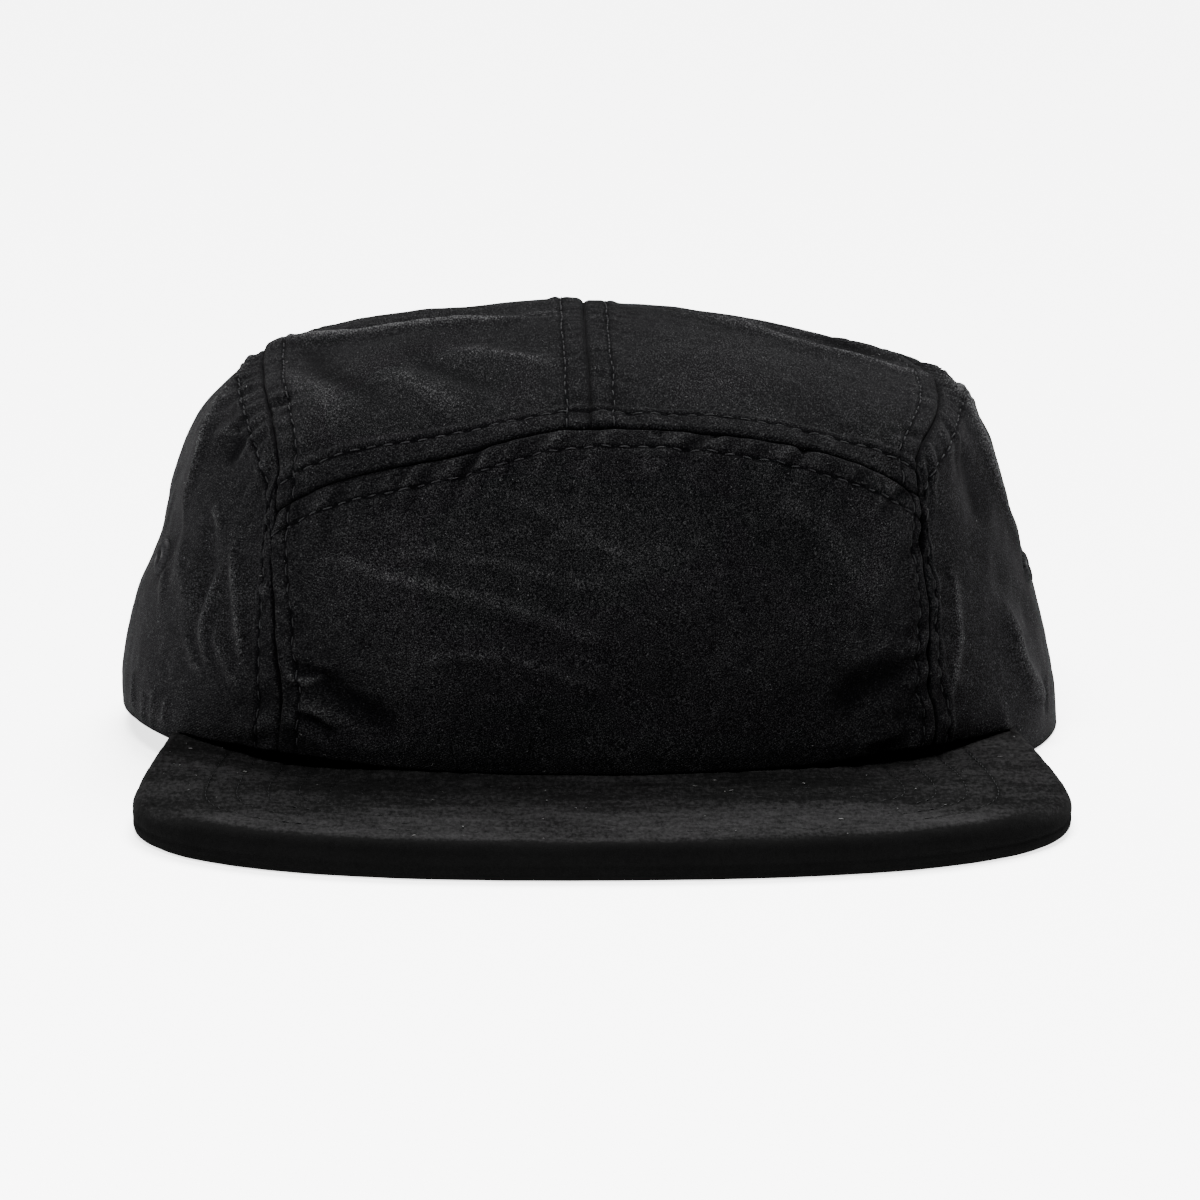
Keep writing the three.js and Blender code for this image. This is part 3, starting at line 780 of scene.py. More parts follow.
@dataclass
class Panel:
    """One panel of the crown: a patch between four lines, each with its own finish.

    The bottom and top lines run to the right, and the left and right lines run up, seen from outside.
    """

    name: str
    form: CrownForm
    bottom: SeamLine
    right: SeamLine
    top: SeamLine
    left: SeamLine
    kinds: dict[str, EdgeKind]
    seed: int
    stitch_at: dict[str, float] = field(default_factory=dict)
    holes: tuple[tuple[Array, float], ...] = ()
    seam: SeamShape = field(default_factory=SeamShape)
    fine: float = 0.36
    coarse: float = 0.8
    fine_reach: float = 6.5
    inner_allowance: float = 0.4
    allowance_reach: tuple[float, float] = (8.2, 7.0)
    band_height: tuple[float, float] = (15.0, 14.0)
    join_height: float = 7.0
    join_corner_height: float = 0.8
    join_tuck: float = 1.2
    join_corner_tuck: float = 0.9
    join_left: tuple[float, float] = (-153.0, -149.0)
    join_right: tuple[float, float] = (-27.0, -31.0)
    join_corners: tuple[float, float] = (-132.0, -48.0)
    join_corner_width: float = 11.0
    side_height: float = 82.0
    usual_stitch: float = 5.0
    stitch_drift: float = 0.14
    wave_height: float = 0.3
    ripple_height: float = 0.07
    thinnest: float = 0.35
    lowest_z: float = 0.15

    def __post_init__(self) -> None:
        """Works out the panel's grid and its relief."""
        width = 0.5 * (self.bottom.length + self.top.length)
        height = 0.5 * (self.left.length + self.right.length)
        if "side" in self.name:
            height = self.side_height
        u = graded_steps(width, self.fine, self.coarse, self.fine_reach)
        v = graded_steps(height, self.fine, self.coarse, self.fine_reach)
        self.places = self.form.from_disc(self.coons_patch(u, v))
        self.smooth = self.form.on_smooth(self.places)
        self.normals = self.form.normals(self.places)
        self.measure()
        self.raise_cloth()

    def coons_patch(self, u: Array, v: Array) -> Array:
        """Fills the space between the four lines.

        Args:
            u: Places to the right, from 0 to 1.
            v: Places upwards, from 0 to 1.

        Returns:
            Disc coordinates of the grid.
        """
        bottom, top = self.bottom.at(u)[:, None], self.top.at(u)[:, None]
        left, right = self.left.at(v)[None], self.right.at(v)[None]
        a, b = u[:, None, None], v[None, :, None]
        low_corners = (1 - a) * (1 - b) * bottom[0] + a * (1 - b) * bottom[-1]
        corners = low_corners + (1 - a) * b * top[0] + a * b * top[-1]
        return (1 - b) * bottom + b * top + (1 - a) * left + a * right - corners

    def measure(self) -> None:
        """Measures each grid point's distance from the four edges."""
        across = lengths_along(self.smooth)
        upwards = np.swapaxes(lengths_along(np.swapaxes(self.smooth, 0, 1)), 0, 1)
        self.distance = {
            "left": across,
            "right": across[-1:] - across,
            "bottom": upwards,
            "top": upwards[:, -1:] - upwards,
        }
        self.along = {"left": upwards, "right": upwards, "bottom": across, "top": across}
        middle = across[:, across.shape[1] // 2]
        self.cloth_map = np.stack([across - across[-1:] / 2 + middle[-1] / 2, upwards], -1)

    def brim_tuck(self) -> tuple[Array, Array]:
        """Works out how the wall is drawn in where the brim is sewn to it.

        Returns:
            The height change, and the painted shade in the crevice where the wall meets the brim.
        """
        azimuth = (self.places[..., 0] + 180.0) % 360.0 - 180.0
        z = self.smooth[..., 2]
        joined = smoothstep(*self.join_left, azimuth) * smoothstep(*self.join_right, azimuth)
        corner = sum(np.exp(-(((azimuth - at) / self.join_corner_width) ** 2)) for at in self.join_corners)
        depth = self.join_tuck + self.join_corner_tuck * corner
        top = self.join_height + self.join_corner_height * corner
        fall = smoothstep(top, top - 1.2, z)
        bulge = 0.35 * np.exp(-(((z - top - 3.5) / 3.0) ** 2))
        return joined * (bulge - depth * fall), joined * fall

    def raise_cloth(self) -> None:
        """Adds the folds, seams, puckers and waves to the smooth patch."""
        folds, wear_and_painted_light = self.form.folded(self.smooth)
        waves = self.wave_height * Undulation(self.seed, 15.0, 46.0).at(self.smooth)
        waves += self.ripple_height * Undulation(self.seed + 1, 5.0, 12.0, 24).at(self.smooth)
        relief = np.zeros_like(folds)
        dark = np.zeros_like(folds)
        sewn = np.full_like(folds, 99.0)
        for k, (side, kind) in enumerate(self.kinds.items()):
            stitch = self.stitch_at.get(side, self.usual_stitch)
            distance, along, seed = self.distance[side], self.along[side], self.seed + 10 * k
            relief += self.seam.relief(kind, distance, along, seed, stitch)
            dark += self.seam.darkness(kind, distance, stitch)
            if kind is not EdgeKind.HEM:
                # Painted light on the puckers: paler on their crests, painted shade in their valleys.
                wear_and_painted_light = wear_and_painted_light + 0.6 * self.seam.pucker * self.seam.puckers(distance, along, seed, stitch)
            sewn = np.minimum(sewn, distance)
        tuck, join_painted_shade = self.brim_tuck()
        calm = smoothstep(0.0, 14.0, self.smooth[..., 2])
        base = folds + waves * (0.25 + 0.75 * calm)
        banded = smoothstep(*self.band_height, self.smooth[..., 2])
        turned = np.maximum(smoothstep(*self.allowance_reach, sewn), banded)
        outer_height = base + relief + tuck
        inner_height = base + tuck - self.form.cloth - self.inner_allowance * turned
        self.outer = self.smooth + self.normals * outer_height[..., None]
        inner_height = np.minimum(inner_height, outer_height - self.thinnest)
        self.inner = self.smooth + self.normals * inner_height[..., None]
        self.outer[..., 2] = np.maximum(self.outer[..., 2], self.lowest_z)
        self.inner[..., 2] = np.maximum(self.inner[..., 2], self.lowest_z)
        # Paleness from fold wear, painted highlight and painted pucker light and shade.
        self.wear_and_painted_light = np.clip(wear_and_painted_light, -0.7, 2.0)
        # Painted shade: the seam crevices, stitch grooves, hem edge and brim join are darkened in the
        # colour.
        self.dark = np.clip(dark + 0.8 * join_painted_shade, 0.0, 1.0)

    def surface_normals(self) -> Array:
        """Finds the outward directions of the finished outer face."""
        return unit(np.cross(np.gradient(self.outer, axis=0), np.gradient(self.outer, axis=1)))

    def build(self, finish: "BrushedTwill") -> bpy.types.Object:
        """Makes the panel's mesh.

        Args:
            finish: The cloth.

        Returns:
            The panel's object.
        """
        near, far = self.outer[:-1], self.outer[1:]
        cells = 0.25 * (near[:, :-1] + far[:, :-1] + near[:, 1:] + far[:, 1:])
        keep = np.ones(cells.shape[:2], bool)
        for centre, radius in self.holes:
            keep &= np.linalg.norm(cells - centre, axis=-1) > radius
        piece, grid_point = Shell(self.outer, self.inner, keep).build(f"{self.name}_cloth")
        add_cloth_map(piece, self.cloth_map.reshape(-1, 2)[grid_point])
        # Colour attributes: paleness from wear and painted highlight, and painted shade in crevices,
        # grooves and the brim join.
        add_float_attribute(piece, "wear_and_painted_light", self.wear_and_painted_light.ravel()[grid_point])
        add_float_attribute(piece, "dark", self.dark.ravel()[grid_point])
        piece.data.materials.append(finish.material())
        dress(piece, "cloth", self.name)
        return piece

    def stitch_rows(self) -> Rows:
        """Traces the rows of topstitching along the sewn edges.

        Returns:
            For each row its points and the outward directions there.
        """
        rows = []
        normals = self.surface_normals()
        for side, kind in self.kinds.items():
            if kind is EdgeKind.HEM:
                continue
            stitch = self.stitch_at.get(side, self.usual_stitch)
            upright = side in ("left", "right")
            points = self.outer if upright else np.swapaxes(self.outer, 0, 1)
            directions = normals if upright else np.swapaxes(normals, 0, 1)
            distance = self.distance[side] if upright else self.distance[side].T
            if side in ("right", "top"):
                points, directions, distance = points[::-1], directions[::-1], distance[::-1]
            steps = np.arange(float(points.shape[1]))[:, None]
            away = stitch + self.stitch_drift * Undulation(self.seed + 7, 18.0, 60.0, 8).at(steps)
            row = [self.crossing(points[:, k], distance[:, k], away[k]) for k in range(len(away))]
            lean = [self.crossing(directions[:, k], distance[:, k], away[k]) for k in range(len(away))]
            rows.append((np.array(row), unit(np.array(lean))))
        return rows

    @staticmethod
    def crossing(values: Array, distance: Array, wanted: float) -> Array:
        """Reads values where the distance from an edge reaches a wanted one."""
        return np.array([np.interp(wanted, distance, values[:, k]) for k in range(3)])


def dress(piece: bpy.types.Object, material_slot: str, *replaced: str) -> None:
    """Hangs a piece on its body's empty and hides the solids that it stands for.

    Args:
        piece: The object.
        material_slot: The record's material slot; not used.
        replaced: Names of the solids.
    """
    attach(piece, BODY)
    if replaced:
        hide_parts(*replaced)


class NodeSheet:
    """A material's nodes, added and joined by short calls."""

    def __init__(self, name: str) -> None:
        """Starts a material with one Principled shader.

        Args:
            name: The material's name.
        """
        self.material = bpy.data.materials.new(name)
        self.material.use_nodes = True
        self.tree = self.material.node_tree
        self.tree.nodes.clear()
        self.output = self.add("ShaderNodeOutputMaterial")
        self.shader = self.add("ShaderNodeBsdfPrincipled")
        self.join(self.shader.outputs["BSDF"], self.output.inputs["Surface"])

    def add(self, kind: str, values: dict | None = None, **settings: object) -> bpy.types.Node:
        """Adds a node.

        Args:
            kind: Blender's name for the kind of node.
            values: Socket values by name or number.
            settings: The node's own settings.

        Returns:
            The node.
        """
        node = self.tree.nodes.new(kind)
        for name, setting in settings.items():
            setattr(node, name, setting)
        for socket, value in (values or {}).items():
            node.inputs[socket].default_value = value
        return node

    def join(self, source: bpy.types.NodeSocket, target: bpy.types.NodeSocket) -> None:
        """Joins one socket to another."""
        self.tree.links.new(source, target)

    def set_shader(self, **values: object) -> None:
        """Sets the shader's own sockets, named with underscores for spaces."""
        for name, value in values.items():
            self.shader.inputs[name.replace("_", " ")].default_value = value

    def noise(self, scale: float, detail: float, rough: float, vector: Socket) -> Socket:
        """Adds a noise texture.

        Args:
            scale: How fine it is.
            detail: How many finer layers it has.
            rough: How strong those are.
            vector: The socket of its coordinates.

        Returns:
            The socket of its value.
        """
        node = self.add("ShaderNodeTexNoise", {"Scale": scale, "Detail": detail, "Roughness": rough})
        self.join(vector, node.inputs["Vector"])
        return node.outputs[0]

    def attribute(self, name: str) -> Socket:
        """Reads a number stored on the mesh."""
        return self.add("ShaderNodeAttribute", attribute_name=name).outputs["Fac"]

    def coordinates(self, kind: str, scale: tuple[float, float, float], turn: float = 0.0) -> Socket:
        """Gives stretched and turned coordinates.

        Args:
            kind: The texture coordinate's name, such as Object or UV.
            scale: How much to stretch along each axis.
            turn: Turn about Z, in degrees.

        Returns:
            The socket of the coordinates.
        """
        source = self.add("ShaderNodeTexCoord").outputs[kind]
        rotation = (0.0, 0.0, math.radians(turn))
        mapping = self.add("ShaderNodeMapping", {"Scale": scale, "Rotation": rotation})
        self.join(source, mapping.inputs["Vector"])
        return mapping.outputs["Vector"]

    def math(self, operation: str, first: Socket | float, second: Socket | float) -> Socket:
        """Adds a math node.

        Args:
            operation: Blender's name for what it does.
            first: A socket or a plain number.
            second: A socket or a plain number.

        Returns:
            The socket of the result.
        """
        node = self.add("ShaderNodeMath", operation=operation)
        for k, value in enumerate((first, second)):
            if isinstance(value, float):
                node.inputs[k].default_value = value
            else:
                self.join(value, node.inputs[k])
        return node.outputs[0]

    def spread(self, value: Socket, low: float, high: float, to_low: float, to_high: float) -> Socket:
        """Maps a value from one range to another, without going past its ends.

        Args:
            value: The value's socket.
            low: The value that gives to_low.
            high: The value that gives to_high.
            to_low: The lowest result.
            to_high: The highest result.

        Returns:
            The socket of the result.
        """
        ranges = {"From Min": low, "From Max": high, "To Min": to_low, "To Max": to_high}
        node = self.add("ShaderNodeMapRange", ranges)
        self.join(value, node.inputs["Value"])
        return node.outputs["Result"]

    def ramp(self, value: Socket, stops: tuple[tuple[float, Colour], ...]) -> Socket:
        """Turns a value into a colour.

        Args:
            value: The value's socket.
            stops: Values from 0 to 1, each with its colour.

        Returns:
            The socket of the colour.
        """
        node = self.add("ShaderNodeValToRGB")
        stored = node.color_ramp.elements
        while len(stored) < len(stops):
            stored.new(0.5)
        for element, (place, colour) in zip(stored, stops):
            element.position = place
            element.color = (*colour, 1.0)
        self.join(value, node.inputs["Fac"])
        return node.outputs["Color"]

    def bump(self, height: Socket, depth: float, strength: float, under: Socket | None = None) -> Socket:
        """Adds a bump.

        Args:
            height: The socket of the height.
            depth: The bump's depth, in metres.
            strength: How strongly it shows.
            under: Another bump's socket that it lies on.

        Returns:
            The socket of the normal.
        """
        node = self.add("ShaderNodeBump", {"Strength": strength, "Distance": depth})
        self.join(height, node.inputs["Height"])
        if under is not None:
            self.join(under, node.inputs["Normal"])
        return node.outputs["Normal"]


@dataclass(frozen=True)
class Finish:
    """A finish, whose material is made on its first use."""

    name: str

    def material(self) -> bpy.types.Material:
        """Gives the finish's material.

        Returns:
            The material, the same one for each call with this name.
        """
        known = bpy.data.materials.get(self.name)
        if known:
            return known
        sheet = NodeSheet(self.name)
        self.lay(sheet)
        return sheet.material

    def lay(self, sheet: NodeSheet) -> None:
        """Lays out the finish's nodes, which each finish does in its own way."""
        raise NotImplementedError


@dataclass(frozen=True)
class BrushedTwill(Finish):
    """Fine cotton twill with a brushed, peached face, near black."""

    name: str = "brushed_black_twill"
    dark: Colour = (0.0004, 0.0004, 0.0005)
    plain: Colour = (0.0022, 0.0022, 0.0024)
    pale: Colour = (0.0104, 0.0104, 0.0107)
    crest_highlight_and_wear: Colour = (0.0310, 0.0310, 0.0315)
    twill_pitch: float = 0.00046
    twill_lean: float = 63.0

    def lay(self, sheet: NodeSheet) -> None:
        """Lays out the cloth's nodes.

        Args:
            sheet: The sheet of its material.
        """
        place = sheet.coordinates("Object", (1.0, 1.0, 1.0))
        weave_place = sheet.coordinates("UV", (1.0, 1.0, 1.0), self.twill_lean)
        wave_scale = 2 * math.pi / (20 * self.twill_pitch)
        waves = {"Scale": wave_scale, "Distortion": 2.2, "Detail": 2.0, "Detail Scale": 1.4}
        twill = sheet.add("ShaderNodeTexWave", waves)
        sheet.join(weave_place, twill.inputs["Vector"])
        cloud = sheet.noise(32.0, 4.0, 0.6, place)
        nap = sheet.noise(240.0, 4.0, 0.65, place)
        brushed = sheet.coordinates("Object", (1.0, 0.3, 1.0))
        fibre = sheet.noise(3700.0, 2.0, 0.7, brushed)
        fleck = sheet.noise(2900.0, 1.0, 0.5, brushed)
        tone = sheet.spread(cloud, 0.3, 0.7, 0.22, 0.36)
        tone = sheet.math("ADD", tone, sheet.spread(nap, 0.3, 0.7, -0.05, 0.07))
        tone = sheet.math("ADD", tone, sheet.spread(fibre, 0.35, 0.67, -0.42, 0.46))
        tone = sheet.math("ADD", tone, sheet.spread(fleck, 0.66, 0.82, 0.0, 0.6))
        # Paler for wear and painted highlight along folds and puckers; darker for painted shade in
        # crevices, grooves and the brim join.
        tone = sheet.math("ADD", tone, sheet.math("MULTIPLY", sheet.attribute("wear_and_painted_light"), 0.42))
        tone = sheet.math("SUBTRACT", tone, sheet.math("MULTIPLY", sheet.attribute("dark"), 0.5))
        # The brightest stop shows mostly on fold crests, where it is wear and painted highlight.
        stops = ((0.0, self.dark), (0.36, self.plain), (0.74, self.pale), (1.0, self.crest_highlight_and_wear))
        sheet.join(sheet.ramp(tone, stops), sheet.shader.inputs["Base Color"])
        weave = sheet.bump(twill.outputs["Fac"], 0.00006, 0.55)
        fuzz = sheet.bump(fibre, 0.0002, 0.8, weave)
        sheet.join(sheet.bump(nap, 0.0002, 0.4, fuzz), sheet.shader.inputs["Normal"])
        sheet.set_shader(
            Roughness=0.95,
            Specular_IOR_Level=0.01,
            Sheen_Weight=0.005,
            Sheen_Roughness=0.45,
            Sheen_Tint=(0.97, 0.97, 1.0, 1.0),
        )


@dataclass(frozen=True)
class NappedSuede(Finish):
    """Black suede whose short nap lies in streaks."""

    name: str = "streaky_black_suede"
    dark: Colour = (0.0006, 0.0006, 0.0006)
    plain: Colour = (0.0026, 0.0026, 0.0026)
    pale: Colour = (0.0110, 0.0108, 0.0110)

    def lay(self, sheet: NodeSheet) -> None:
        """Lays out the suede's nodes.

        Args:
            sheet: The sheet of its material.
        """
        streaks = sheet.noise(1.0, 5.0, 0.62, sheet.coordinates("Object", (45.0, 110.0, 110.0)))
        strokes = sheet.noise(1.0, 4.0, 0.6, sheet.coordinates("Object", (300.0, 420.0, 420.0), 6.0))
        patches = sheet.noise(34.0, 4.0, 0.6, sheet.coordinates("Object", (1.0, 1.6, 1.6)))
        nap = sheet.noise(1300.0, 4.0, 0.7, sheet.coordinates("Object", (1.0, 0.35, 1.0)))
        tone = sheet.spread(streaks, 0.3, 0.7, 0.1, 0.34)
        tone = sheet.math("ADD", tone, sheet.spread(patches, 0.3, 0.7, 0.0, 0.3))
        tone = sheet.math("ADD", tone, sheet.spread(strokes, 0.3, 0.7, -0.07, 0.14))
        tone = sheet.math("ADD", tone, sheet.spread(nap, 0.32, 0.68, -0.2, 0.26))
        # Painted shade in the stitch-row grooves, then painted light on the front band and sides of the
        # top.
        tone = sheet.math("SUBTRACT", tone, sheet.math("MULTIPLY", sheet.attribute("dark"), 0.35))
        tone = sheet.math("ADD", tone, sheet.math("MULTIPLY", sheet.attribute("wear_and_painted_light"), 0.3))
        # Painted shade on the front edge: its tone is pulled to one flat dark value.
        even = sheet.math("SUBTRACT", 1.0, sheet.math("MULTIPLY", sheet.attribute("edge"), 0.8))
        tone = sheet.math("MULTIPLY", tone, even)
        tone = sheet.math("ADD", tone, sheet.math("MULTIPLY", sheet.attribute("edge"), 0.16))
        colour = sheet.ramp(tone, ((0.0, self.dark), (0.45, self.plain), (1.0, self.pale)))
        sheet.join(colour, sheet.shader.inputs["Base Color"])
        fine = sheet.bump(nap, 0.00018, 0.7)
        brushed = sheet.bump(strokes, 0.0003, 0.4, fine)
        sheet.join(sheet.bump(streaks, 0.0003, 0.3, brushed), sheet.shader.inputs["Normal"])
        sheet.set_shader(
            Roughness=0.95,
            Specular_IOR_Level=0.0,
            Sheen_Weight=0.006,
            Sheen_Roughness=0.4,
            Sheen_Tint=(1.0, 1.0, 1.0, 1.0),
        )


@dataclass(frozen=True)
class SewingThread(Finish):
    """Twisted black polyester thread with a slight shine."""

    name: str = "black_sewing_thread"
    colour: Colour = (0.0076, 0.0076, 0.0080)

    def lay(self, sheet: NodeSheet) -> None:
        """Lays out the thread's nodes.

        Args:
            sheet: The sheet of its material.
        """
        fibre = sheet.noise(2600.0, 2.0, 0.6, sheet.coordinates("Object", (1.0, 1.0, 1.0)))
        low = tuple(0.6 * channel for channel in self.colour)
        high = tuple(1.7 * channel for channel in self.colour)
        sheet.join(sheet.ramp(fibre, ((0.3, low), (0.7, high))), sheet.shader.inputs["Base Color"])
        sheet.join(sheet.bump(fibre, 0.00008, 0.5), sheet.shader.inputs["Normal"])
        sheet.set_shader(Roughness=0.55, Specular_IOR_Level=0.02)


@dataclass(frozen=True)
class StrapWeb(Finish):
    """Flat woven strap, near black, with ribs across it."""

    name: str = "black_strap_web"
    dark: Colour = (0.0015, 0.0015, 0.0017)
    pale: Colour = (0.0062, 0.0062, 0.0068)
    rib_pitch: float = 0.0011

    def lay(self, sheet: NodeSheet) -> None:
        """Lays out the strap's nodes.

        Args:
            sheet: The sheet of its material.
        """
        place = sheet.coordinates("UV", (1.0, 1.0, 1.0))
        wave_scale = 2 * math.pi / (20 * self.rib_pitch)
        ribs = sheet.add("ShaderNodeTexWave", {"Scale": wave_scale, "Distortion": 0.8, "Detail": 1.0})
        across = {"Scale": 1.6 * wave_scale, "Distortion": 0.6}
        yarns = sheet.add("ShaderNodeTexWave", across, bands_direction="Y")
        sheet.join(place, ribs.inputs["Vector"])
        sheet.join(place, yarns.inputs["Vector"])
        height = sheet.math("MULTIPLY", ribs.outputs["Fac"], yarns.outputs["Fac"])
        colour = sheet.ramp(height, ((0.0, self.dark), (1.0, self.pale)))
        sheet.join(colour, sheet.shader.inputs["Base Color"])
        sheet.join(sheet.bump(height, 0.00025, 0.8), sheet.shader.inputs["Normal"])
        sheet.set_shader(Roughness=0.8, Specular_IOR_Level=0.03)


@dataclass(frozen=True)
class MouldedPlastic(Finish):
    """Satin black moulded plastic with a fine mould texture."""

    name: str = "black_moulded_plastic"
    colour: Colour = (0.0022, 0.0022, 0.0024)

    def lay(self, sheet: NodeSheet) -> None:
        """Lays out the plastic's nodes.

        Args:
            sheet: The sheet of its material.
        """
        grain = sheet.noise(1800.0, 3.0, 0.6, sheet.coordinates("Object", (1.0, 1.0, 1.0)))
        bright = tuple(1.5 * channel for channel in self.colour)
        colour = sheet.ramp(grain, ((0.3, self.colour), (0.7, bright)))
        sheet.join(colour, sheet.shader.inputs["Base Color"])
        sheet.join(sheet.spread(grain, 0.3, 0.7, 0.38, 0.5), sheet.shader.inputs["Roughness"])
        sheet.join(sheet.bump(grain, 0.00004, 0.4), sheet.shader.inputs["Normal"])
        sheet.set_shader(Specular_IOR_Level=0.08)


@dataclass(frozen=True)
class LintFibre(Finish):
    """Pale lint caught in the nap."""

    name: str = "pale_lint"
    dull: Colour = (0.006, 0.006, 0.0062)
    pale: Colour = (0.03, 0.029, 0.028)

    def lay(self, sheet: NodeSheet) -> None:
        """Lays out the lint's nodes.

        Args:
            sheet: The sheet of its material.
        """
        tone = sheet.noise(300.0, 2.0, 0.5, sheet.coordinates("Object", (1.0, 1.0, 1.0)))
        colour = sheet.ramp(tone, ((0.35, self.dull), (0.65, self.pale)))
        sheet.join(colour, sheet.shader.inputs["Base Color"])
        sheet.set_shader(Roughness=0.8)


@dataclass
class Stitching:
    """Rows of stitches, joined into one mesh."""

    name: str
    rows: Rows
    pitch: float = 3.55
    visible: float = 2.6
    width: float = 0.28
    height: float = 0.28
    crown: float = 0.1
    sunk: float = 0.3
    sides: int = 7
    rings: int = 7
    seed: int = 5
    first: float = 0.8
    spare: float = 1.5
    jitter: float = 0.06

    def template(self) -> tuple[Array, list[list[int]]]:
        """Shapes one stitch along X, with Z pointing out of the cloth.

        Returns:
            Its points and its faces.
        """
        t = np.linspace(-1.0, 1.0, self.rings)
        angle = 2 * math.pi * np.arange(self.sides) / self.sides
        swell = np.sqrt(np.clip(1.0 - np.abs(t) ** 4, 0.04, 1.0))
        x = np.repeat(t * self.visible / 2, self.sides)
        y = (swell[:, None] * self.width / 2 * np.cos(angle)).ravel()
        middle = self.crown - (self.crown + self.sunk) * np.abs(t) ** 2.6
        z = (middle[:, None] + swell[:, None] * self.height / 2 * np.sin(angle)).ravel()
        faces = []
        for ring in range(self.rings - 1):
            for side in range(self.sides):
                a = ring * self.sides + side
                b = ring * self.sides + (side + 1) % self.sides
                faces.append([a, a + self.sides, b + self.sides, b])
        last = (self.rings - 1) * self.sides
        faces.append(list(range(self.sides)))
        faces.append([last + side for side in reversed(range(self.sides))])
        return np.stack([x, y, z], -1), faces

    def frames(self) -> tuple[Array, Array, Array]:
        """Places each stitch along its row.

        Returns:
            Centres, directions along the row and directions out of the cloth.
        """
        random = np.random.default_rng(self.seed)
        centres, tangents, outwards = [], [], []
        for points, normals in self.rows:
            along = lengths_along(points)
            count = int((along[-1] - self.spare) / self.pitch)
            at = self.first + self.pitch * (np.arange(count) + 0.5) + random.normal(0.0, self.jitter, count)
            place = np.stack([np.interp(at, along, points[:, k]) for k in range(3)], -1)
            before = np.stack([np.interp(at - 1.0, along, points[:, k]) for k in range(3)], -1)
            after = np.stack([np.interp(at + 1.0, along, points[:, k]) for k in range(3)], -1)
            lean = unit(np.stack([np.interp(at, along, normals[:, k]) for k in range(3)], -1))
            centres.append(place)
            tangents.append(unit(after - before + random.normal(0.0, self.jitter, place.shape)))
            outwards.append(lean)
        return np.vstack(centres), np.vstack(tangents), np.vstack(outwards)

    def build(self, finish: SewingThread) -> bpy.types.Object:
        """Makes the mesh of all the stitches.

        Args:
            finish: The thread.

        Returns:
            The stitches' object.
        """
        shape, faces = self.template()
        centre, along, out = self.frames()
        across = unit(np.cross(out, along))
        out = np.cross(along, across)
        axes = np.stack([along, across, out], 1)
        points = centre[:, None] + np.einsum("pk,nkc->npc", shape, axes)
        piece = joined_copies(self.name, points, faces)
        piece.data.materials.append(finish.material())
        dress(piece, "thread")
        log.info("%s: %d stitches", self.name, len(centre))
        return piece


def joined_copies(name: str, points: Array, faces: list[list[int]]) -> bpy.types.Object:
    """Joins copies of one small shape into a mesh.

    Args:
        name: The object's name.
        points: The points of each copy, copies along the first axis.
        faces: The faces of one copy.

    Returns:
        The object.
    """
    copies, per_copy = points.shape[:2]
    starts = range(0, copies * per_copy, per_copy)
    all_faces = [[start + corner for corner in face] for start in starts for face in faces]
    return smooth_object(name, points, all_faces)


@dataclass
class Eyelet:
    """A sewn eyelet: thread wound over the edge of an air hole."""

    name: str
    centre: Array
    outward: Array
    hole: float = 1.3
    rim: float = 3.3
    rise: float = 0.75
    cloth: float = 1.6
    threads: int = 44
    loop_steps: int = 20
    unevenness: float = 0.13
    rib: float = 0.1
    squareness: float = 0.7
    seed: int = 3

    def build(self, finish: SewingThread) -> bpy.types.Object:
        """Makes the ring of thread, ribbed across its width.

        Args:
            finish: The thread.

        Returns:
            The eyelet's object.
        """
        round_steps, loop_steps = 4 * self.threads, self.loop_steps
        turn = 2 * math.pi * np.arange(round_steps) / round_steps
        loop = 2 * math.pi * np.arange(loop_steps) / loop_steps
        random = np.random.default_rng(self.seed)
        uneven = np.repeat(random.normal(0.0, self.unevenness, self.threads), 4)
        middle, half = (self.hole + self.rim) / 2, (self.rim - self.hole) / 2
        rib = self.rib * (1.0 + np.cos(self.threads * turn))[:, None]
        reach = middle + (half + 0.5 * rib + uneven[:, None] * (np.cos(loop) > 0)) * np.cos(loop)
        over = (self.rise + rib) * np.clip(np.sin(loop), 0, 1) ** self.squareness
        under = (self.cloth + 0.6) * np.clip(-np.sin(loop), 0, 1) ** self.squareness
        height = over - under
        side = unit(np.cross(self.outward, [0.0, 0.0, 1.0]))
        up = np.cross(side, self.outward)
        radial = np.cos(turn)[:, None] * side + np.sin(turn)[:, None] * up
        points = self.centre + reach[..., None] * radial[:, None] + height[..., None] * self.outward
        faces = []
        for i in range(round_steps):
            for j in range(loop_steps):
                i_next, j_next = (i + 1) % round_steps, (j + 1) % loop_steps
                corners = ((i, j), (i_next, j), (i_next, j_next), (i, j_next))
                faces.append([a * loop_steps + b for a, b in corners])
        piece = object_from_mesh(f"{self.name}_thread", points.reshape(-1, 3), faces)
        piece.data.materials.append(finish.material())
        make_faces_point_out(piece)
        dress(piece, "thread", self.name)
        return piece


def make_faces_point_out(piece: bpy.types.Object) -> None:
    """Turns a closed mesh's faces so that they all point out.

    Args:
        piece: The mesh object.
    """
    mesh = bmesh.new()
    mesh.from_mesh(piece.data)
    bmesh.ops.recalc_face_normals(mesh, faces=mesh.faces)
    mesh.to_mesh(piece.data)
    mesh.free()


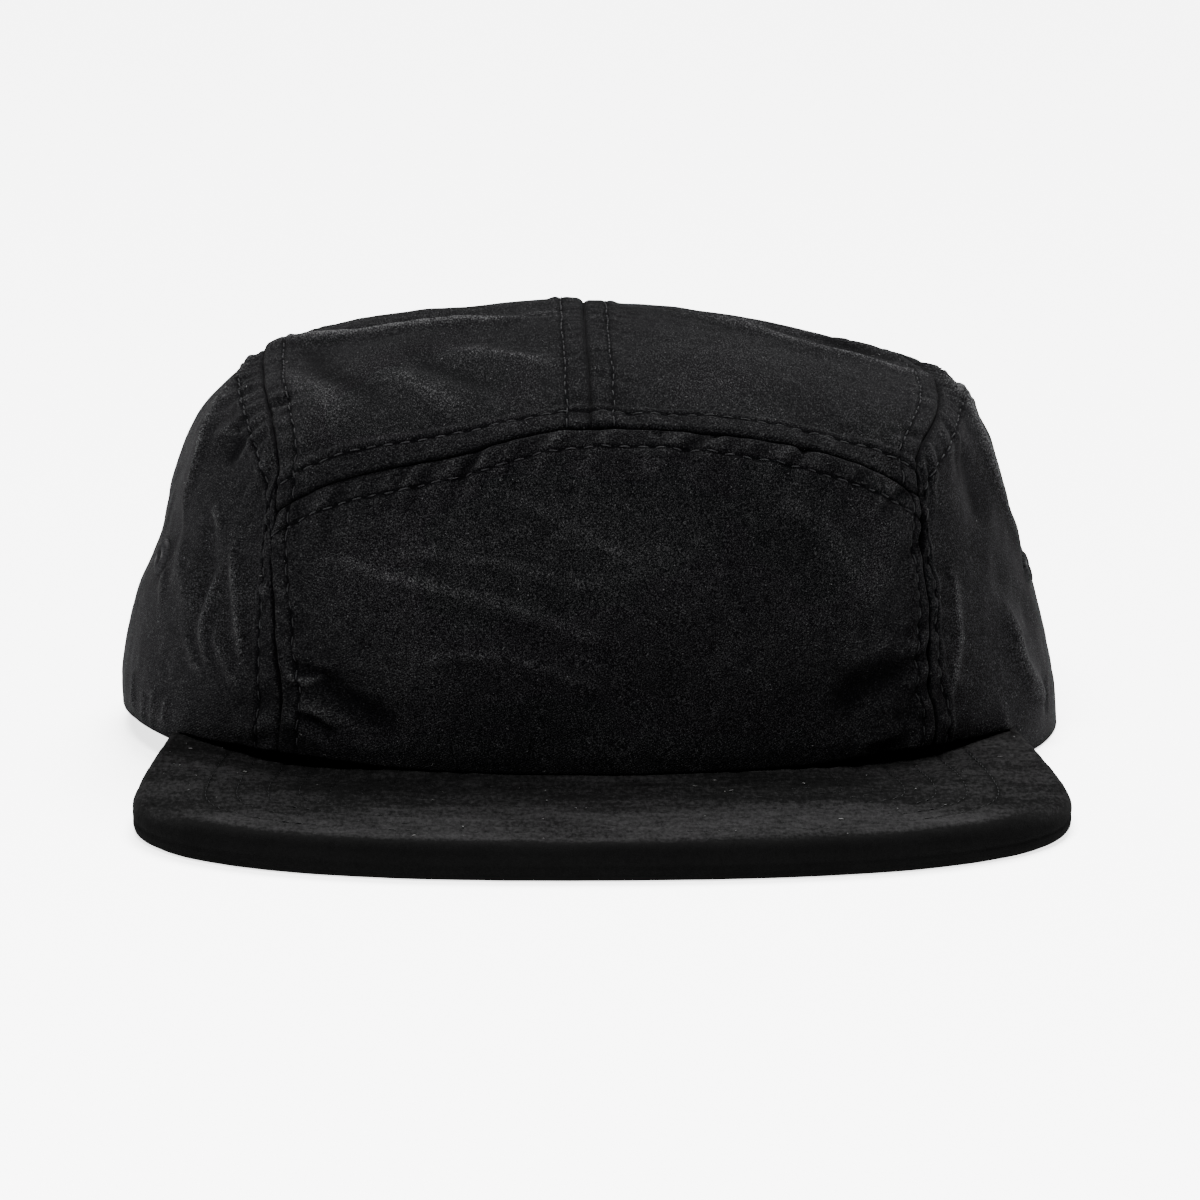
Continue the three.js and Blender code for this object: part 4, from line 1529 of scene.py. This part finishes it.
@dataclass
class Brim:
    """The flat brim: a board with suede over and under it, joined by a seam round its edge."""

    form: CrownForm
    half_width: float = 90.0
    widest_y: float = -70.0
    front_y: float = -124.3
    back_y: float = -6.0
    taper: float = 5.7
    taper_power: float = 1.3
    squareness: float = 2.5
    thickness: float = 6.8
    top_round: float = 2.6
    low_round: float = 1.9
    edge_seam_z: float = 2.7
    edge_seam_depth: float = 0.22
    # Painted light on the top: it starts to pale here and is full towards the front edge, out of the
    # crown's shadow.
    painted_light_from_y: float = -76.0
    painted_light_full_y: float = -100.0
    sag: float = 1.7
    sag_place: float = 60.0
    sag_width: float = 17.0
    sag_reach: float = 26.0
    first_row: float = 14.0
    row_pitch: float = 6.0
    rows: int = 9
    inner_offset: float = -2.4
    outline_steps: int = 460
    top_steps: int = 64
    under_steps: int = 26
    thread_depth: float = 0.14
    nap_cover: float = 0.2
    top_column: int = field(init=False, default=0)
    grid: Array | None = field(init=False, default=None)

    def outline(self) -> Array:
        """Draws the brim's outline from above, from its left corner round the front to its right corner.

        Returns:
            Evenly spaced points, in mm.
        """
        t = np.linspace(1.0, 0.0, 60)[:-1]
        side_x = self.half_width - self.taper * t**self.taper_power
        side_y = self.widest_y + (self.back_y - self.widest_y) * t
        angle = np.linspace(0.0, math.pi, 400)
        power = 2.0 / self.squareness
        c, s = np.cos(angle), np.sin(angle)
        front_x = self.half_width * np.sign(c) * np.abs(c) ** power
        front_y = self.widest_y + (self.front_y - self.widest_y) * np.abs(s) ** power
        left = np.stack([-side_x, side_y], -1)
        front = np.stack([-front_x, front_y], -1)
        line = np.vstack([left, front, left[::-1] * [-1.0, 1.0]])
        along = lengths_along(line)
        even = np.linspace(0.0, along[-1], self.outline_steps)
        return np.stack([np.interp(even, along, line[:, k]) for k in range(2)], -1)

    def inward(self, line: Array) -> Array:
        """Finds the directions from the outline towards the brim's middle.

        Args:
            line: The outline's points, in mm.

        Returns:
            Directions of length one.
        """
        tangent = np.pad(unit(np.gradient(line, axis=0)), ((3, 3), (0, 0)), "edge")
        smooth = np.stack([np.convolve(tangent[:, k], np.ones(7) / 7, "valid") for k in range(2)], -1)
        return unit(np.stack([-smooth[:, 1], smooth[:, 0]], -1))

    def inner_line(self) -> Array:
        """Draws the edge that is hidden in the crown's hem.

        Returns:
            Evenly spaced points, from left to right, in mm.
        """
        azimuth = np.linspace(-152.5, -27.5, 600)
        places = np.stack([azimuth, np.full_like(azimuth, 0.3)], -1)
        points = (self.form.on_smooth(places) + self.inner_offset * self.form.normals(places))[:, :2]
        along = lengths_along(points)
        even = np.linspace(0.0, along[-1], self.outline_steps)
        return np.stack([np.interp(even, along, points[:, k]) for k in range(2)], -1)

    def section(self) -> tuple[Array, Array]:
        """Draws the rounded edge from the underside to the top.

        Returns:
            Distance in from the outline and height, for each point.
        """
        quarter = np.linspace(0.0, math.pi / 2, 9)
        low = np.stack([self.low_round * (1 - np.sin(quarter)), self.low_round * (1 - np.cos(quarter))], -1)
        rise = self.thickness - self.top_round * (1 - np.sin(quarter))
        high = np.stack([self.top_round * (1 - np.cos(quarter)), rise], -1)
        wall = np.linspace(self.low_round, self.thickness - self.top_round, 11)[1:-1]
        line = np.vstack([low, np.stack([np.zeros_like(wall), wall], -1), high])
        seam = self.edge_seam_depth * np.exp(-(((line[:, 1] - self.edge_seam_z) / 0.42) ** 2))
        lip = 0.05 * np.exp(-(((line[:, 1] - self.edge_seam_z - 1.0) / 0.6) ** 2))
        return line[:, 0] + seam - lip, line[:, 1]

    def surface(self) -> tuple[Array, Array]:
        """Works out the brim's grid.

        Returns:
            The grid of points, and each one's distance from the outline.
        """
        outline, inner = self.outline(), self.inner_line()
        inward = self.inward(outline)
        depth, height = self.section()
        edge = outline[:, None] + inward[:, None] * depth[None, :, None]
        edge = np.concatenate([edge, np.broadcast_to(height[None, :, None], edge.shape[:2] + (1,))], -1)
        top_start, under_start = edge[:, -1], edge[:, 0]
        inner_top = np.column_stack([inner, np.full(len(inner), self.thickness)])
        inner_low = np.column_stack([inner, np.zeros(len(inner))])
        across = np.linspace(0.0, 1.0, self.top_steps + 1)[None, 1:, None]
        top = top_start[:, None] * (1 - across) + inner_top[:, None] * across
        across = np.linspace(0.0, 1.0, self.under_steps + 1)[None, :-1, None]
        under = inner_low[:, None] * (1 - across) + under_start[:, None] * across
        grid = np.concatenate([under, edge, top], 1)
        flat = grid[..., :2].reshape(-1, 2)
        distance = np.array([np.hypot(*(outline - point).T).min() for point in flat])
        distance = distance.reshape(grid.shape[:2])
        self.top_column = len(under[0]) + len(edge[0])
        return self.quilted(grid, distance), distance

    def quilted(self, grid: Array, distance: Array) -> Array:
        """Raises the suede a little between the stitch rows and gives its edge an uneven nap.

        Args:
            grid: The brim's points, which are moved.
            distance: Each one's distance from the outline, in mm.

        Returns:
            The moved points.
        """
        rows = 0.5 - 0.5 * np.cos(2 * math.pi * (distance - self.first_row) / self.row_pitch)
        sewn = smoothstep(self.first_row - 3.0, self.first_row, distance)
        lift = 0.16 * (rows - 1.0) * sewn + 0.07 * Undulation(41, 7.0, 22.0).at(grid)
        lift += 0.035 * Undulation(42, 2.6, 5.0, 24).at(grid)
        lift -= self.sag_at(grid[..., :2])
        grid[:, self.top_column :, 2] += lift[:, self.top_column :]
        wobble = 0.08 * Undulation(43, 6.0, 30.0).at(grid[..., :2]) * smoothstep(4.0, 1.0, distance)
        outwards = unit(grid[..., :2] - [0.0, self.widest_y])
        grid[..., :2] += outwards * np.minimum(wobble, 0.12)[..., None]
        return grid

    def build(self, finish: NappedSuede) -> bpy.types.Object:
        """Makes the brim's mesh.

        Args:
            finish: The suede.

        Returns:
            The brim's object.
        """
        grid, distance = self.surface()
        self.grid = grid
        steps, rings = grid.shape[:2]
        number = np.arange(steps * rings).reshape(steps, rings)
        ring_next = np.roll(number, -1, axis=1)
        quads = np.stack([number[:-1], number[1:], ring_next[1:], ring_next[:-1]], -1).reshape(-1, 4)
        faces = quads.tolist() + [number[0, ::-1].tolist(), number[-1].tolist()]
        piece = smooth_object("brim_suede", grid, faces)
        make_faces_point_out(piece)
        # Painted shade in the grooves of the stitch rows and of the edge seam.
        row = np.abs((distance - self.first_row + self.row_pitch / 2) % self.row_pitch - self.row_pitch / 2)
        dark = 0.6 * np.exp(-((row / 0.45) ** 2)) * (distance > self.first_row - 1.0)
        dark *= self.shown_at(grid[..., 0])
        dark += 0.3 * np.exp(-(((grid[..., 2] - self.edge_seam_z) / 0.4) ** 2)) * (distance < 1.2)
        add_float_attribute(piece, "dark", np.clip(dark, 0.0, 1.0))
        # Painted light: the top is paler towards the front and at the sides, out of the crown's shadow; the
        # front-facing rounded edge gets painted shade.
        rim = smoothstep(self.thickness - self.top_round, self.thickness - 0.5, grid[..., 2])
        top = np.where(np.arange(rings)[None] >= self.top_column, 1.0, rim)
        faces_front = smoothstep(0.3, 0.8, self.inward(self.outline())[:, 1])[:, None]
        shaded = faces_front * smoothstep(8.0, 0.5, distance)
        pale = smoothstep(self.painted_light_from_y, self.painted_light_full_y, grid[..., 1])
        pale = np.maximum(pale, 0.35 * smoothstep(45.0, 75.0, np.abs(grid[..., 0])))
        add_float_attribute(piece, "wear_and_painted_light", top * pale * (1.0 - shaded))
        add_float_attribute(piece, "edge", 1.0 - top * (1.0 - shaded))
        piece.data.materials.append(finish.material())
        dress(piece, "suede", "brim")
        return piece

    def shown_at(self, x: Array) -> Array:
        """Reads how far the rows of stitching show: little in the middle, most at the sides."""
        return 0.35 + 0.65 * smoothstep(42.0, 74.0, np.abs(x))

    def sag_at(self, points: Array) -> Array:
        """Reads how far the top sinks beside the crown, at points seen from above."""
        beside = np.exp(-(((np.abs(points[..., 0]) - self.sag_place) / self.sag_width) ** 2))
        return self.sag * beside * smoothstep(self.sag_reach, 2.0, self.gap_to_crown(points))

    def gap_to_crown(self, points: Array) -> Array:
        """Measures, from above, how far points lie in front of the crown's wall.

        Args:
            points: Places seen from above, in mm.

        Returns:
            Their distances, in mm.
        """
        centre = np.array([0.0, self.form.centre_y])
        azimuth = np.linspace(-180.0, 0.0, 721)
        wall = self.form.on_smooth(np.stack([azimuth, np.full_like(azimuth, 0.5)], -1))[:, :2] - centre
        angle = np.degrees(np.arctan2(wall[:, 1], wall[:, 0]))
        offset = points - centre
        reach = np.interp(np.degrees(np.arctan2(offset[..., 1], offset[..., 0])), angle, np.hypot(*wall.T))
        return np.hypot(offset[..., 0], offset[..., 1]) - reach

    def top_rows(self) -> Rows:
        """Traces the rows of stitching on the top, at even distances from the outline.

        Returns:
            For each row its points and the outward directions there.
        """
        outline = self.outline()
        inward = self.inward(outline)
        traced = []
        for row in range(self.rows):
            away = self.first_row + row * self.row_pitch
            line = outline + inward * away
            clear = np.array([np.hypot(*(outline - point).T).min() for point in line]) > away - 0.25
            line = line[clear & (self.gap_to_crown(line) > 0.4)]
            if len(line) < 8:
                continue
            covered = self.nap_cover * (1.0 - self.shown_at(line[:, 0]))
            height = self.thickness - self.thread_depth - self.sag_at(line) - covered
            tall = np.column_stack([line, height])
            traced.append((tall, np.tile([0.0, 0.0, 1.0], (len(line), 1))))
        return traced


@dataclass
class BackWall:
    """Places along the inside of the crown's back wall."""

    form: CrownForm
    hem_reach: float = 91.0

    def at(self, reach: Array, z: Array, offset: Array) -> Array:
        """Finds points by the back wall.

        Args:
            reach: Distance along the wall from its middle, towards -X, in mm.
            z: Height, in mm.
            offset: Distance outwards from the outside of the smooth wall, in mm.

        Returns:
            The points, in mm.
        """
        reach, z, offset = np.broadcast_arrays(reach, z, offset)
        azimuth = 90.0 + np.degrees(reach / self.hem_reach)
        low, high = np.zeros_like(z, float), np.full_like(z, 5.0, dtype=float)
        for _ in range(24):
            middle = (low + high) / 2
            below = self.form.on_smooth(np.stack([azimuth, middle], -1))[..., 2] < z
            low, high = np.where(below, middle, low), np.where(below, high, middle)
        places = np.stack([azimuth, low], -1)
        out = self.form.normals(places)
        out[..., 2] = 0.0
        return self.form.on_smooth(places) + unit(out) * offset[..., None]


@dataclass
class BackStrap:
    """The adjusting strap, woven through the buckle, with a stitched edge."""

    wall: BackWall
    low: float = 4.0
    high: float = 22.0
    length: float = 106.0
    thickness: float = 1.2
    path: Path = ((0, -0.6), (2.4, -0.6), (8.6, -4.4), (14.5, -4.4), (22, -2.5), (70, -2.5))
    steps: int = 260
    stitch_inset: float = 1.8

    def offset(self, reach: Array) -> Array:
        """Reads how far the strap's middle lies from the outside of the wall.

        Args:
            reach: Distance along the wall from its middle, in mm.

        Returns:
            The distance outwards, in mm.
        """
        distance = np.abs(reach)
        knots = np.array(self.path, float)
        after = np.clip(np.searchsorted(knots[:, 0], distance, side="right"), 1, len(knots) - 1)
        start, end = knots[after - 1], knots[after]
        t = smoothstep(0.0, 1.0, (distance - start[..., 0]) / (end[..., 0] - start[..., 0]))
        return start[..., 1] + (end[..., 1] - start[..., 1]) * t

    def section(self) -> Array:
        """Draws the strap's cross-section, with rounded edges.

        Returns:
            Heights and distances from the strap's middle, in mm.
        """
        half = self.thickness / 2
        flat = np.linspace(self.low + half, self.high - half, 25)
        bend = np.linspace(0.0, math.pi, 7)[1:-1]
        outer = np.stack([flat, np.full_like(flat, half)], -1)
        top = np.stack([self.high - half + half * np.sin(bend), half * np.cos(bend)], -1)
        inner = np.stack([flat[::-1], np.full_like(flat, -half)], -1)
        bottom = np.stack([self.low + half - half * np.sin(bend), -half * np.cos(bend)], -1)
        return np.vstack([outer, top, inner, bottom])

    def build(self, finish: StrapWeb) -> bpy.types.Object:
        """Makes the strap's mesh.

        Args:
            finish: The strap's weave.

        Returns:
            The strap's object.
        """
        reach = np.linspace(-self.length / 2, self.length / 2, self.steps)
        section = self.section()
        offset = self.offset(reach)[:, None] + section[None, :, 1]
        points = self.wall.at(reach[:, None], np.tile(section[None, :, 0], (self.steps, 1)), offset)
        steps, ring = points.shape[:2]
        number = np.arange(steps * ring).reshape(steps, ring)
        following = np.roll(number, -1, axis=1)
        quads = np.stack([number[:-1], following[:-1], following[1:], number[1:]], -1).reshape(-1, 4)
        faces = quads.tolist() + [number[0, ::-1].tolist(), number[-1].tolist()]
        piece = smooth_object("back_strap_web", points, faces)
        make_faces_point_out(piece)
        around = lengths_along(np.vstack([section, section[:1]]))[:-1]
        cloth_map = np.stack(np.broadcast_arrays(reach[:, None], around[None]), -1)
        add_cloth_map(piece, cloth_map.reshape(-1, 2))
        piece.data.materials.append(finish.material())
        dress(piece, "webbing", "back_strap")
        return piece

    def stitch_rows(self) -> Rows:
        """Traces a row of stitches along each edge of the strap.

        Returns:
            For each row its points and the outward directions there.
        """
        rows = []
        reach = np.linspace(-self.length / 2 + 2, self.length / 2 - 2, 200)
        middle = self.offset(reach)
        for z in (self.low + self.stitch_inset, self.high - self.stitch_inset):
            outside = self.wall.at(reach, np.full_like(reach, z), middle + self.thickness / 2)
            inside = self.wall.at(reach, np.full_like(reach, z), middle)
            rows.append((outside, unit(outside - inside)))
        return rows


@dataclass
class StrapBuckle:
    """The slide buckle: a rounded frame with a centre bar."""

    wall: BackWall
    width: float = 26.0
    bar: float = 2.4
    centre_bar: float = 3.2
    thickness: float = 2.0
    clearance: float = 0.6
    offset: float = -2.5
    low: float = 4.0
    high: float = 22.0
    rounding: float = 0.55
    sharp_angle: float = 1.0

    @staticmethod
    def divided(*stretches: tuple[float, float, int]) -> list[float]:
        """Divides stretches that follow one another, each given by its ends and a count."""
        return np.unique(np.concatenate([np.linspace(*stretch) for stretch in stretches])).tolist()

    def build(self, finish: MouldedPlastic) -> bpy.types.Object:
        """Makes the buckle's mesh.

        Args:
            finish: The plastic.

        Returns:
            The buckle's object.
        """
        half, post = self.width / 2, self.centre_bar / 2
        window = half - self.bar
        across = self.divided(
            (-half, -window, 3), (-window, -post, 9), (-post, post, 4), (post, window, 9), (window, half, 3)
        )
        low, high = self.low - self.clearance, self.high + self.clearance
        upright = self.divided((low - self.bar, low, 3), (low, high, 12), (high, high + self.bar, 3))
        mesh = bmesh.new()
        grid = [[mesh.verts.new((x, z, 0.0)) for z in upright] for x in across]
        for i in range(len(across) - 1):
            for j in range(len(upright) - 1):
                x, z = (across[i] + across[i + 1]) / 2, (upright[j] + upright[j + 1]) / 2
                if low < z < high and post < abs(x) < window:
                    continue
                mesh.faces.new((grid[i][j], grid[i + 1][j], grid[i + 1][j + 1], grid[i][j + 1]))
        bmesh.ops.delete(mesh, geom=[v for v in mesh.verts if not v.link_faces], context="VERTS")
        bmesh.ops.solidify(mesh, geom=mesh.faces[:], thickness=self.thickness)
        middle = sum(v.co.z for v in mesh.verts) / len(mesh.verts)
        joined = [edge for edge in mesh.edges if edge.is_manifold]
        sharp = [edge for edge in joined if edge.calc_face_angle(0.0) > self.sharp_angle]
        bmesh.ops.bevel(mesh, geom=sharp, offset=self.rounding, segments=3, profile=0.5, affect="EDGES")
        flat = np.array([v.co for v in mesh.verts])
        bent = self.wall.at(flat[:, 0], flat[:, 1], flat[:, 2] - middle + self.offset)
        for vertex, place in zip(mesh.verts, bent):
            vertex.co = Vector(place) * MM
        bmesh.ops.recalc_face_normals(mesh, faces=mesh.faces)
        data = bpy.data.meshes.new("strap_buckle_frame")
        mesh.to_mesh(data)
        mesh.free()
        data.shade_smooth()
        piece = bpy.data.objects.new("strap_buckle_frame", data)
        bpy.context.scene.collection.objects.link(piece)
        piece.data.materials.append(finish.material())
        dress(piece, "buckle", "strap_buckle")
        return piece


@dataclass
class Lint:
    """Short pale fibres lying on the nap."""

    name: str
    points: Array
    normals: Array
    count: int
    longest: float = 1.1
    thickness: float = 0.11
    seed: int = 17
    rings: int = 5
    sides: int = 5

    def build(self, finish: LintFibre) -> bpy.types.Object:
        """Makes the fibres as one mesh.

        Args:
            finish: The lint.

        Returns:
            The fibres' object.
        """
        random = np.random.default_rng(self.seed)
        chosen = random.integers(0, len(self.points), self.count)
        centre, out = self.points[chosen], self.normals[chosen]
        along = unit(np.cross(out, random.normal(size=centre.shape)))
        across = np.cross(out, along)
        length = self.longest * random.uniform(0.2, 1.0, self.count) ** 2
        girth = self.thickness * random.uniform(0.6, 1.7, self.count)
        bend = random.uniform(-0.3, 0.3, self.count)
        rings, sides = self.rings, self.sides
        t = np.linspace(-1.0, 1.0, rings)
        angle = 2 * math.pi * np.arange(sides) / sides
        swell = np.sqrt(np.clip(1.0 - t**4, 0.1, 1.0))
        x = np.repeat(t, sides)
        circle = np.stack([np.cos(angle), np.sin(angle)], -1)
        ring = np.tile(circle, (rings, 1)) * np.repeat(swell, sides)[:, None]
        half = (length / 2)[:, None]
        lift = 0.1 + girth[:, None] * 0.3
        points = (
            centre[:, None]
            + (half * x)[..., None] * along[:, None]
            + (girth[:, None] / 2 * ring[:, 0] + bend[:, None] * half * x**2)[..., None] * across[:, None]
            + (girth[:, None] / 2 * ring[:, 1] + lift)[..., None] * out[:, None]
        )
        faces = []
        for r in range(rings - 1):
            for k in range(sides):
                a, b = r * sides + k, r * sides + (k + 1) % sides
                faces.append([a, a + sides, b + sides, b])
        faces.append(list(range(sides)))
        faces.append([(rings - 1) * sides + k for k in reversed(range(sides))])
        piece = joined_copies(self.name, points, faces)
        piece.data.materials.append(finish.material())
        dress(piece, "thread")
        log.info("%s: %d fibres", self.name, self.count)
        return piece


@dataclass
class Crown:
    """The five panels with their stitching and eyelets."""

    form: CrownForm
    pattern: Pattern
    eyelet_places: dict[str, tuple[float, float]] = field(
        default_factory=lambda: {"eyelet_left": (-165.5, 2.87), "eyelet_right": (-10.0, 2.67)}
    )
    eyelet_hole: float = 1.9
    lint_count: int = 220

    def eyelet_frame(self, name: str) -> tuple[Array, Array]:
        """Finds where an eyelet sits and which way it faces.

        Args:
            name: The eyelet's name.

        Returns:
            Its centre, in mm, and its outward direction.
        """
        place = np.array(self.eyelet_places[name], float)
        smooth = self.form.on_smooth(place)
        height, _ = self.form.folded(smooth[None])
        normal = self.form.normals(place)
        return smooth + normal * height[0], normal

    def panels(self) -> list[Panel]:
        """Lays out the five panels between their seams.

        Returns:
            The front, the two halves of the top and the two sides.
        """
        cut = self.pattern
        seam, raised, hem, opening = EdgeKind.SEAM, EdgeKind.RAISED_SEAM, EdgeKind.HEM, EdgeKind.OPENING
        holes = {name: ((self.eyelet_frame(name)[0], self.eyelet_hole),) for name in self.eyelet_places}
        return [
            Panel(
                "front_panel", self.form,
                bottom=cut.line(hem_path(-131.8, -46.3)),
                right=cut.line(cut.right_wall),
                top=cut.line(cut.arch_left, cut.arch_right),
                left=cut.line(cut.left_wall),
                kinds={"bottom": hem, "right": seam, "top": seam, "left": seam},
                stitch_at={"right": 3.4, "top": 4.8, "left": 4.6},
                seam=SeamShape(pucker=0.5),
                seed=101,
            ),
            Panel(
                "top_panel_left", self.form,
                bottom=cut.line(cut.arch_left),
                right=cut.line(cut.centre),
                top=cut.line(cut.opening_top_left),
                left=cut.line(cut.left_shoulder),
                kinds={"bottom": raised, "right": seam, "top": opening, "left": seam},
                stitch_at={"bottom": 5.0, "right": 4.6, "top": 2.6, "left": 5.2},
                seam=SeamShape(roll=0.4, roll_depth=0.25, pucker=0.2),
                seed=202,
            ),
            Panel(
                "top_panel_right", self.form,
                bottom=cut.line(cut.arch_right),
                right=cut.line(cut.right_shoulder),
                top=cut.line(cut.opening_top_right),
                left=cut.line(cut.centre),
                kinds={"bottom": raised, "right": seam, "top": opening, "left": seam},
                stitch_at={"bottom": 5.0, "right": 4.8, "top": 2.6, "left": 4.6},
                seam=SeamShape(roll=0.4, roll_depth=0.25, pucker=0.2),
                seed=303,
            ),
            Panel(
                "side_panel_left", self.form,
                bottom=cut.line(hem_path(-246.3, -131.8)),
                right=cut.line(cut.left_wall),
                top=cut.line(cut.left_shoulder).backwards(),
                left=cut.line(cut.opening_left),
                kinds={"bottom": hem, "right": seam, "top": seam, "left": opening},
                stitch_at={"right": 6.0, "top": 5.4, "left": 2.6},
                seam=SeamShape(pucker=0.42),
                seed=404,
                holes=holes["eyelet_left"],
            ),
            Panel(
                "side_panel_right", self.form,
                bottom=cut.line(hem_path(-46.3, 66.3)),
                right=cut.line(cut.opening_right),
                top=cut.line(cut.right_shoulder),
                left=cut.line(cut.right_wall),
                kinds={"bottom": hem, "right": opening, "top": seam, "left": seam},
                stitch_at={"right": 2.6, "top": 5.0, "left": 3.8},
                seam=SeamShape(pucker=0.42),
                seed=505,
                holes=holes["eyelet_right"],
            ),
        ]

    def build(self, cloth: BrushedTwill, thread: SewingThread, lint: LintFibre) -> None:
        """Makes the panels, their stitching, the eyelets and the lint on the cloth.

        Args:
            cloth: The panels' finish.
            thread: The stitches' finish.
            lint: The lint's finish.
        """
        rows, points, normals = [], [], []
        inside = slice(8, -8, 3)
        for panel in self.panels():
            piece = panel.build(cloth)
            log.info("%s: %d faces", piece.name, len(piece.data.polygons))
            rows += panel.stitch_rows()
            points.append(panel.outer[inside, inside].reshape(-1, 3))
            normals.append(panel.surface_normals()[inside, inside].reshape(-1, 3))
        Stitching("crown_topstitching", rows).build(thread)
        for name in self.eyelet_places:
            centre, outward = self.eyelet_frame(name)
            Eyelet(name, centre, outward).build(thread)
            log.info("%s at %s", name, np.round(centre, 1))
        places, directions = np.vstack(points), np.vstack(normals)
        Lint("crown_lint", places, directions, self.lint_count, longest=0.8, thickness=0.07).build(lint)


@dataclass
class Studio:
    """The camera, the pale floor and the soft light."""

    distance: float = 1600.0
    elevation: float = 10.32
    yaw: float = 1.37
    shift_x: float = -1.33
    target_z: float = 30.67
    focal_pixels: float = 7997.0
    frame_pixels: float = 1200.0
    sensor: float = 36.0
    floor_reach: float = 9000.0
    floor_depth: float = 0.05
    floor_glow: float = 2.6
    surroundings: float = 0.22

    def camera(self) -> None:
        """Places the camera at the photograph's angle to the cap."""
        tilt, turn = math.radians(self.elevation), math.radians(self.yaw)
        back = self.distance * math.cos(tilt)
        height = self.target_z + self.distance * math.sin(tilt)
        spot = Vector((-self.shift_x, -back, height))
        unturn = Matrix.Rotation(-turn, 4, "Z")
        data = bpy.data.cameras.new("camera")
        data.sensor_width = self.sensor
        data.lens = self.focal_pixels / self.frame_pixels * self.sensor
        data.clip_end = 50.0
        camera = bpy.data.objects.new("camera", data)
        look = Vector((0.0, math.cos(tilt), -math.sin(tilt)))
        facing = (unturn.to_3x3() @ look).to_track_quat("-Z", "Y")
        camera.matrix_world = Matrix.Translation(unturn @ spot * MM) @ facing.to_matrix().to_4x4()
        bpy.context.scene.collection.objects.link(camera)
        bpy.context.scene.camera = camera

    def floor(self) -> None:
        """Lays a wide pale floor that glows a little, just under the cap."""
        reach, z = self.floor_reach, -self.floor_depth
        corners = [(-reach, -reach, z), (reach, -reach, z), (reach, reach, z), (-reach, reach, z)]
        plane = object_from_mesh("floor", np.array(corners), [[0, 1, 2, 3]], smooth=False)
        sheet = NodeSheet("white_floor")
        sheet.set_shader(
            Base_Color=(0.9, 0.9, 0.9, 1.0),
            Roughness=0.9,
            Emission_Color=(1.0, 1.0, 1.0, 1.0),
            Emission_Strength=self.floor_glow,
        )
        plane.data.materials.append(sheet.material)

    def lamp(
        self, name: str, place: tuple[float, float, float], size: tuple[float, float], power: float
    ) -> None:
        """Hangs a soft lamp that faces the cap.

        Args:
            name: The lamp's name.
            place: Where it hangs, in mm.
            size: Its width and height, in mm.
            power: Its power, in watts.
        """
        data = bpy.data.lights.new(name, "AREA")
        data.shape = "RECTANGLE"
        data.size, data.size_y = size[0] * MM, size[1] * MM
        data.energy = power
        lamp = bpy.data.objects.new(name, data)
        spot = Vector(place) * MM
        lamp.location = spot
        lamp.rotation_euler = (Vector((0.0, 0.0, 0.04)) - spot).to_track_quat("-Z", "Y").to_euler()
        bpy.context.scene.collection.objects.link(lamp)

    def sky_light(
        self, name: str, towards: tuple[float, float, float], strength: float, angle: float
    ) -> None:
        """Hangs a far, wide and even light.

        Args:
            name: The light's name.
            towards: The direction from the cap to the light.
            strength: Its strength, in watts for each square metre.
            angle: How wide it looks from the cap, in degrees.
        """
        data = bpy.data.lights.new(name, "SUN")
        data.energy = strength
        data.angle = math.radians(angle)
        light = bpy.data.objects.new(name, data)
        light.rotation_euler = Vector(towards).to_track_quat("Z", "Y").to_euler()
        bpy.context.scene.collection.objects.link(light)

    def lights(self) -> None:
        """Hangs the lamps and sets the even light all round."""
        self.sky_light("overhead", (0.18, 0.60, 1.0), 13.5, 34.0)
        self.lamp("back_right", (1150, 900, 520), (400, 700), 4.0)
        self.lamp("front_fill", (-350, -900, 1750), (700, 500), 100.0)
        world = bpy.data.worlds.new("studio")
        world.use_nodes = True
        backdrop = world.node_tree.nodes["Background"]
        backdrop.inputs["Color"].default_value = (1.0, 1.0, 1.0, 1.0)
        backdrop.inputs["Strength"].default_value = self.surroundings
        bpy.context.scene.world = world


def main() -> None:
    """Builds the camera, the cap and its surroundings, in order."""
    logging.basicConfig(level=logging.INFO, format="%(message)s")
    studio = Studio()
    studio.camera()
    form = CrownForm()
    cloth, suede, thread, lint = BrushedTwill(), NappedSuede(), SewingThread(), LintFibre()
    Crown(form, Pattern(form)).build(cloth, thread, lint)
    brim = Brim(form)
    piece = brim.build(suede)
    log.info("%s: %d faces", piece.name, len(piece.data.polygons))
    brim_thread = SewingThread("black_brim_thread", (0.0030, 0.0030, 0.0032))
    stitching = Stitching(
        "brim_topstitching", brim.top_rows(), pitch=3.1, visible=2.3, width=0.28, crown=0.05, seed=8
    )
    stitching.build(brim_thread)
    top = brim.grid[20:-20, -brim.top_steps + 2 : -6].reshape(-1, 3)
    upwards = np.tile([0.0, 0.0, 1.0], (len(top), 1))
    Lint("brim_lint", top, upwards, count=48, longest=1.2, thickness=0.22).build(lint)
    wall = BackWall(form)
    strap = BackStrap(wall)
    log.info("%s", strap.build(StrapWeb()).name)
    stitching = Stitching(
        "strap_stitching", strap.stitch_rows(), pitch=3.0, visible=2.4, width=0.34, crown=0.14, seed=11
    )
    stitching.build(thread)
    log.info("%s", StrapBuckle(wall).build(MouldedPlastic()).name)
    studio.floor()
    studio.lights()


if __name__ == "__main__":
    main()
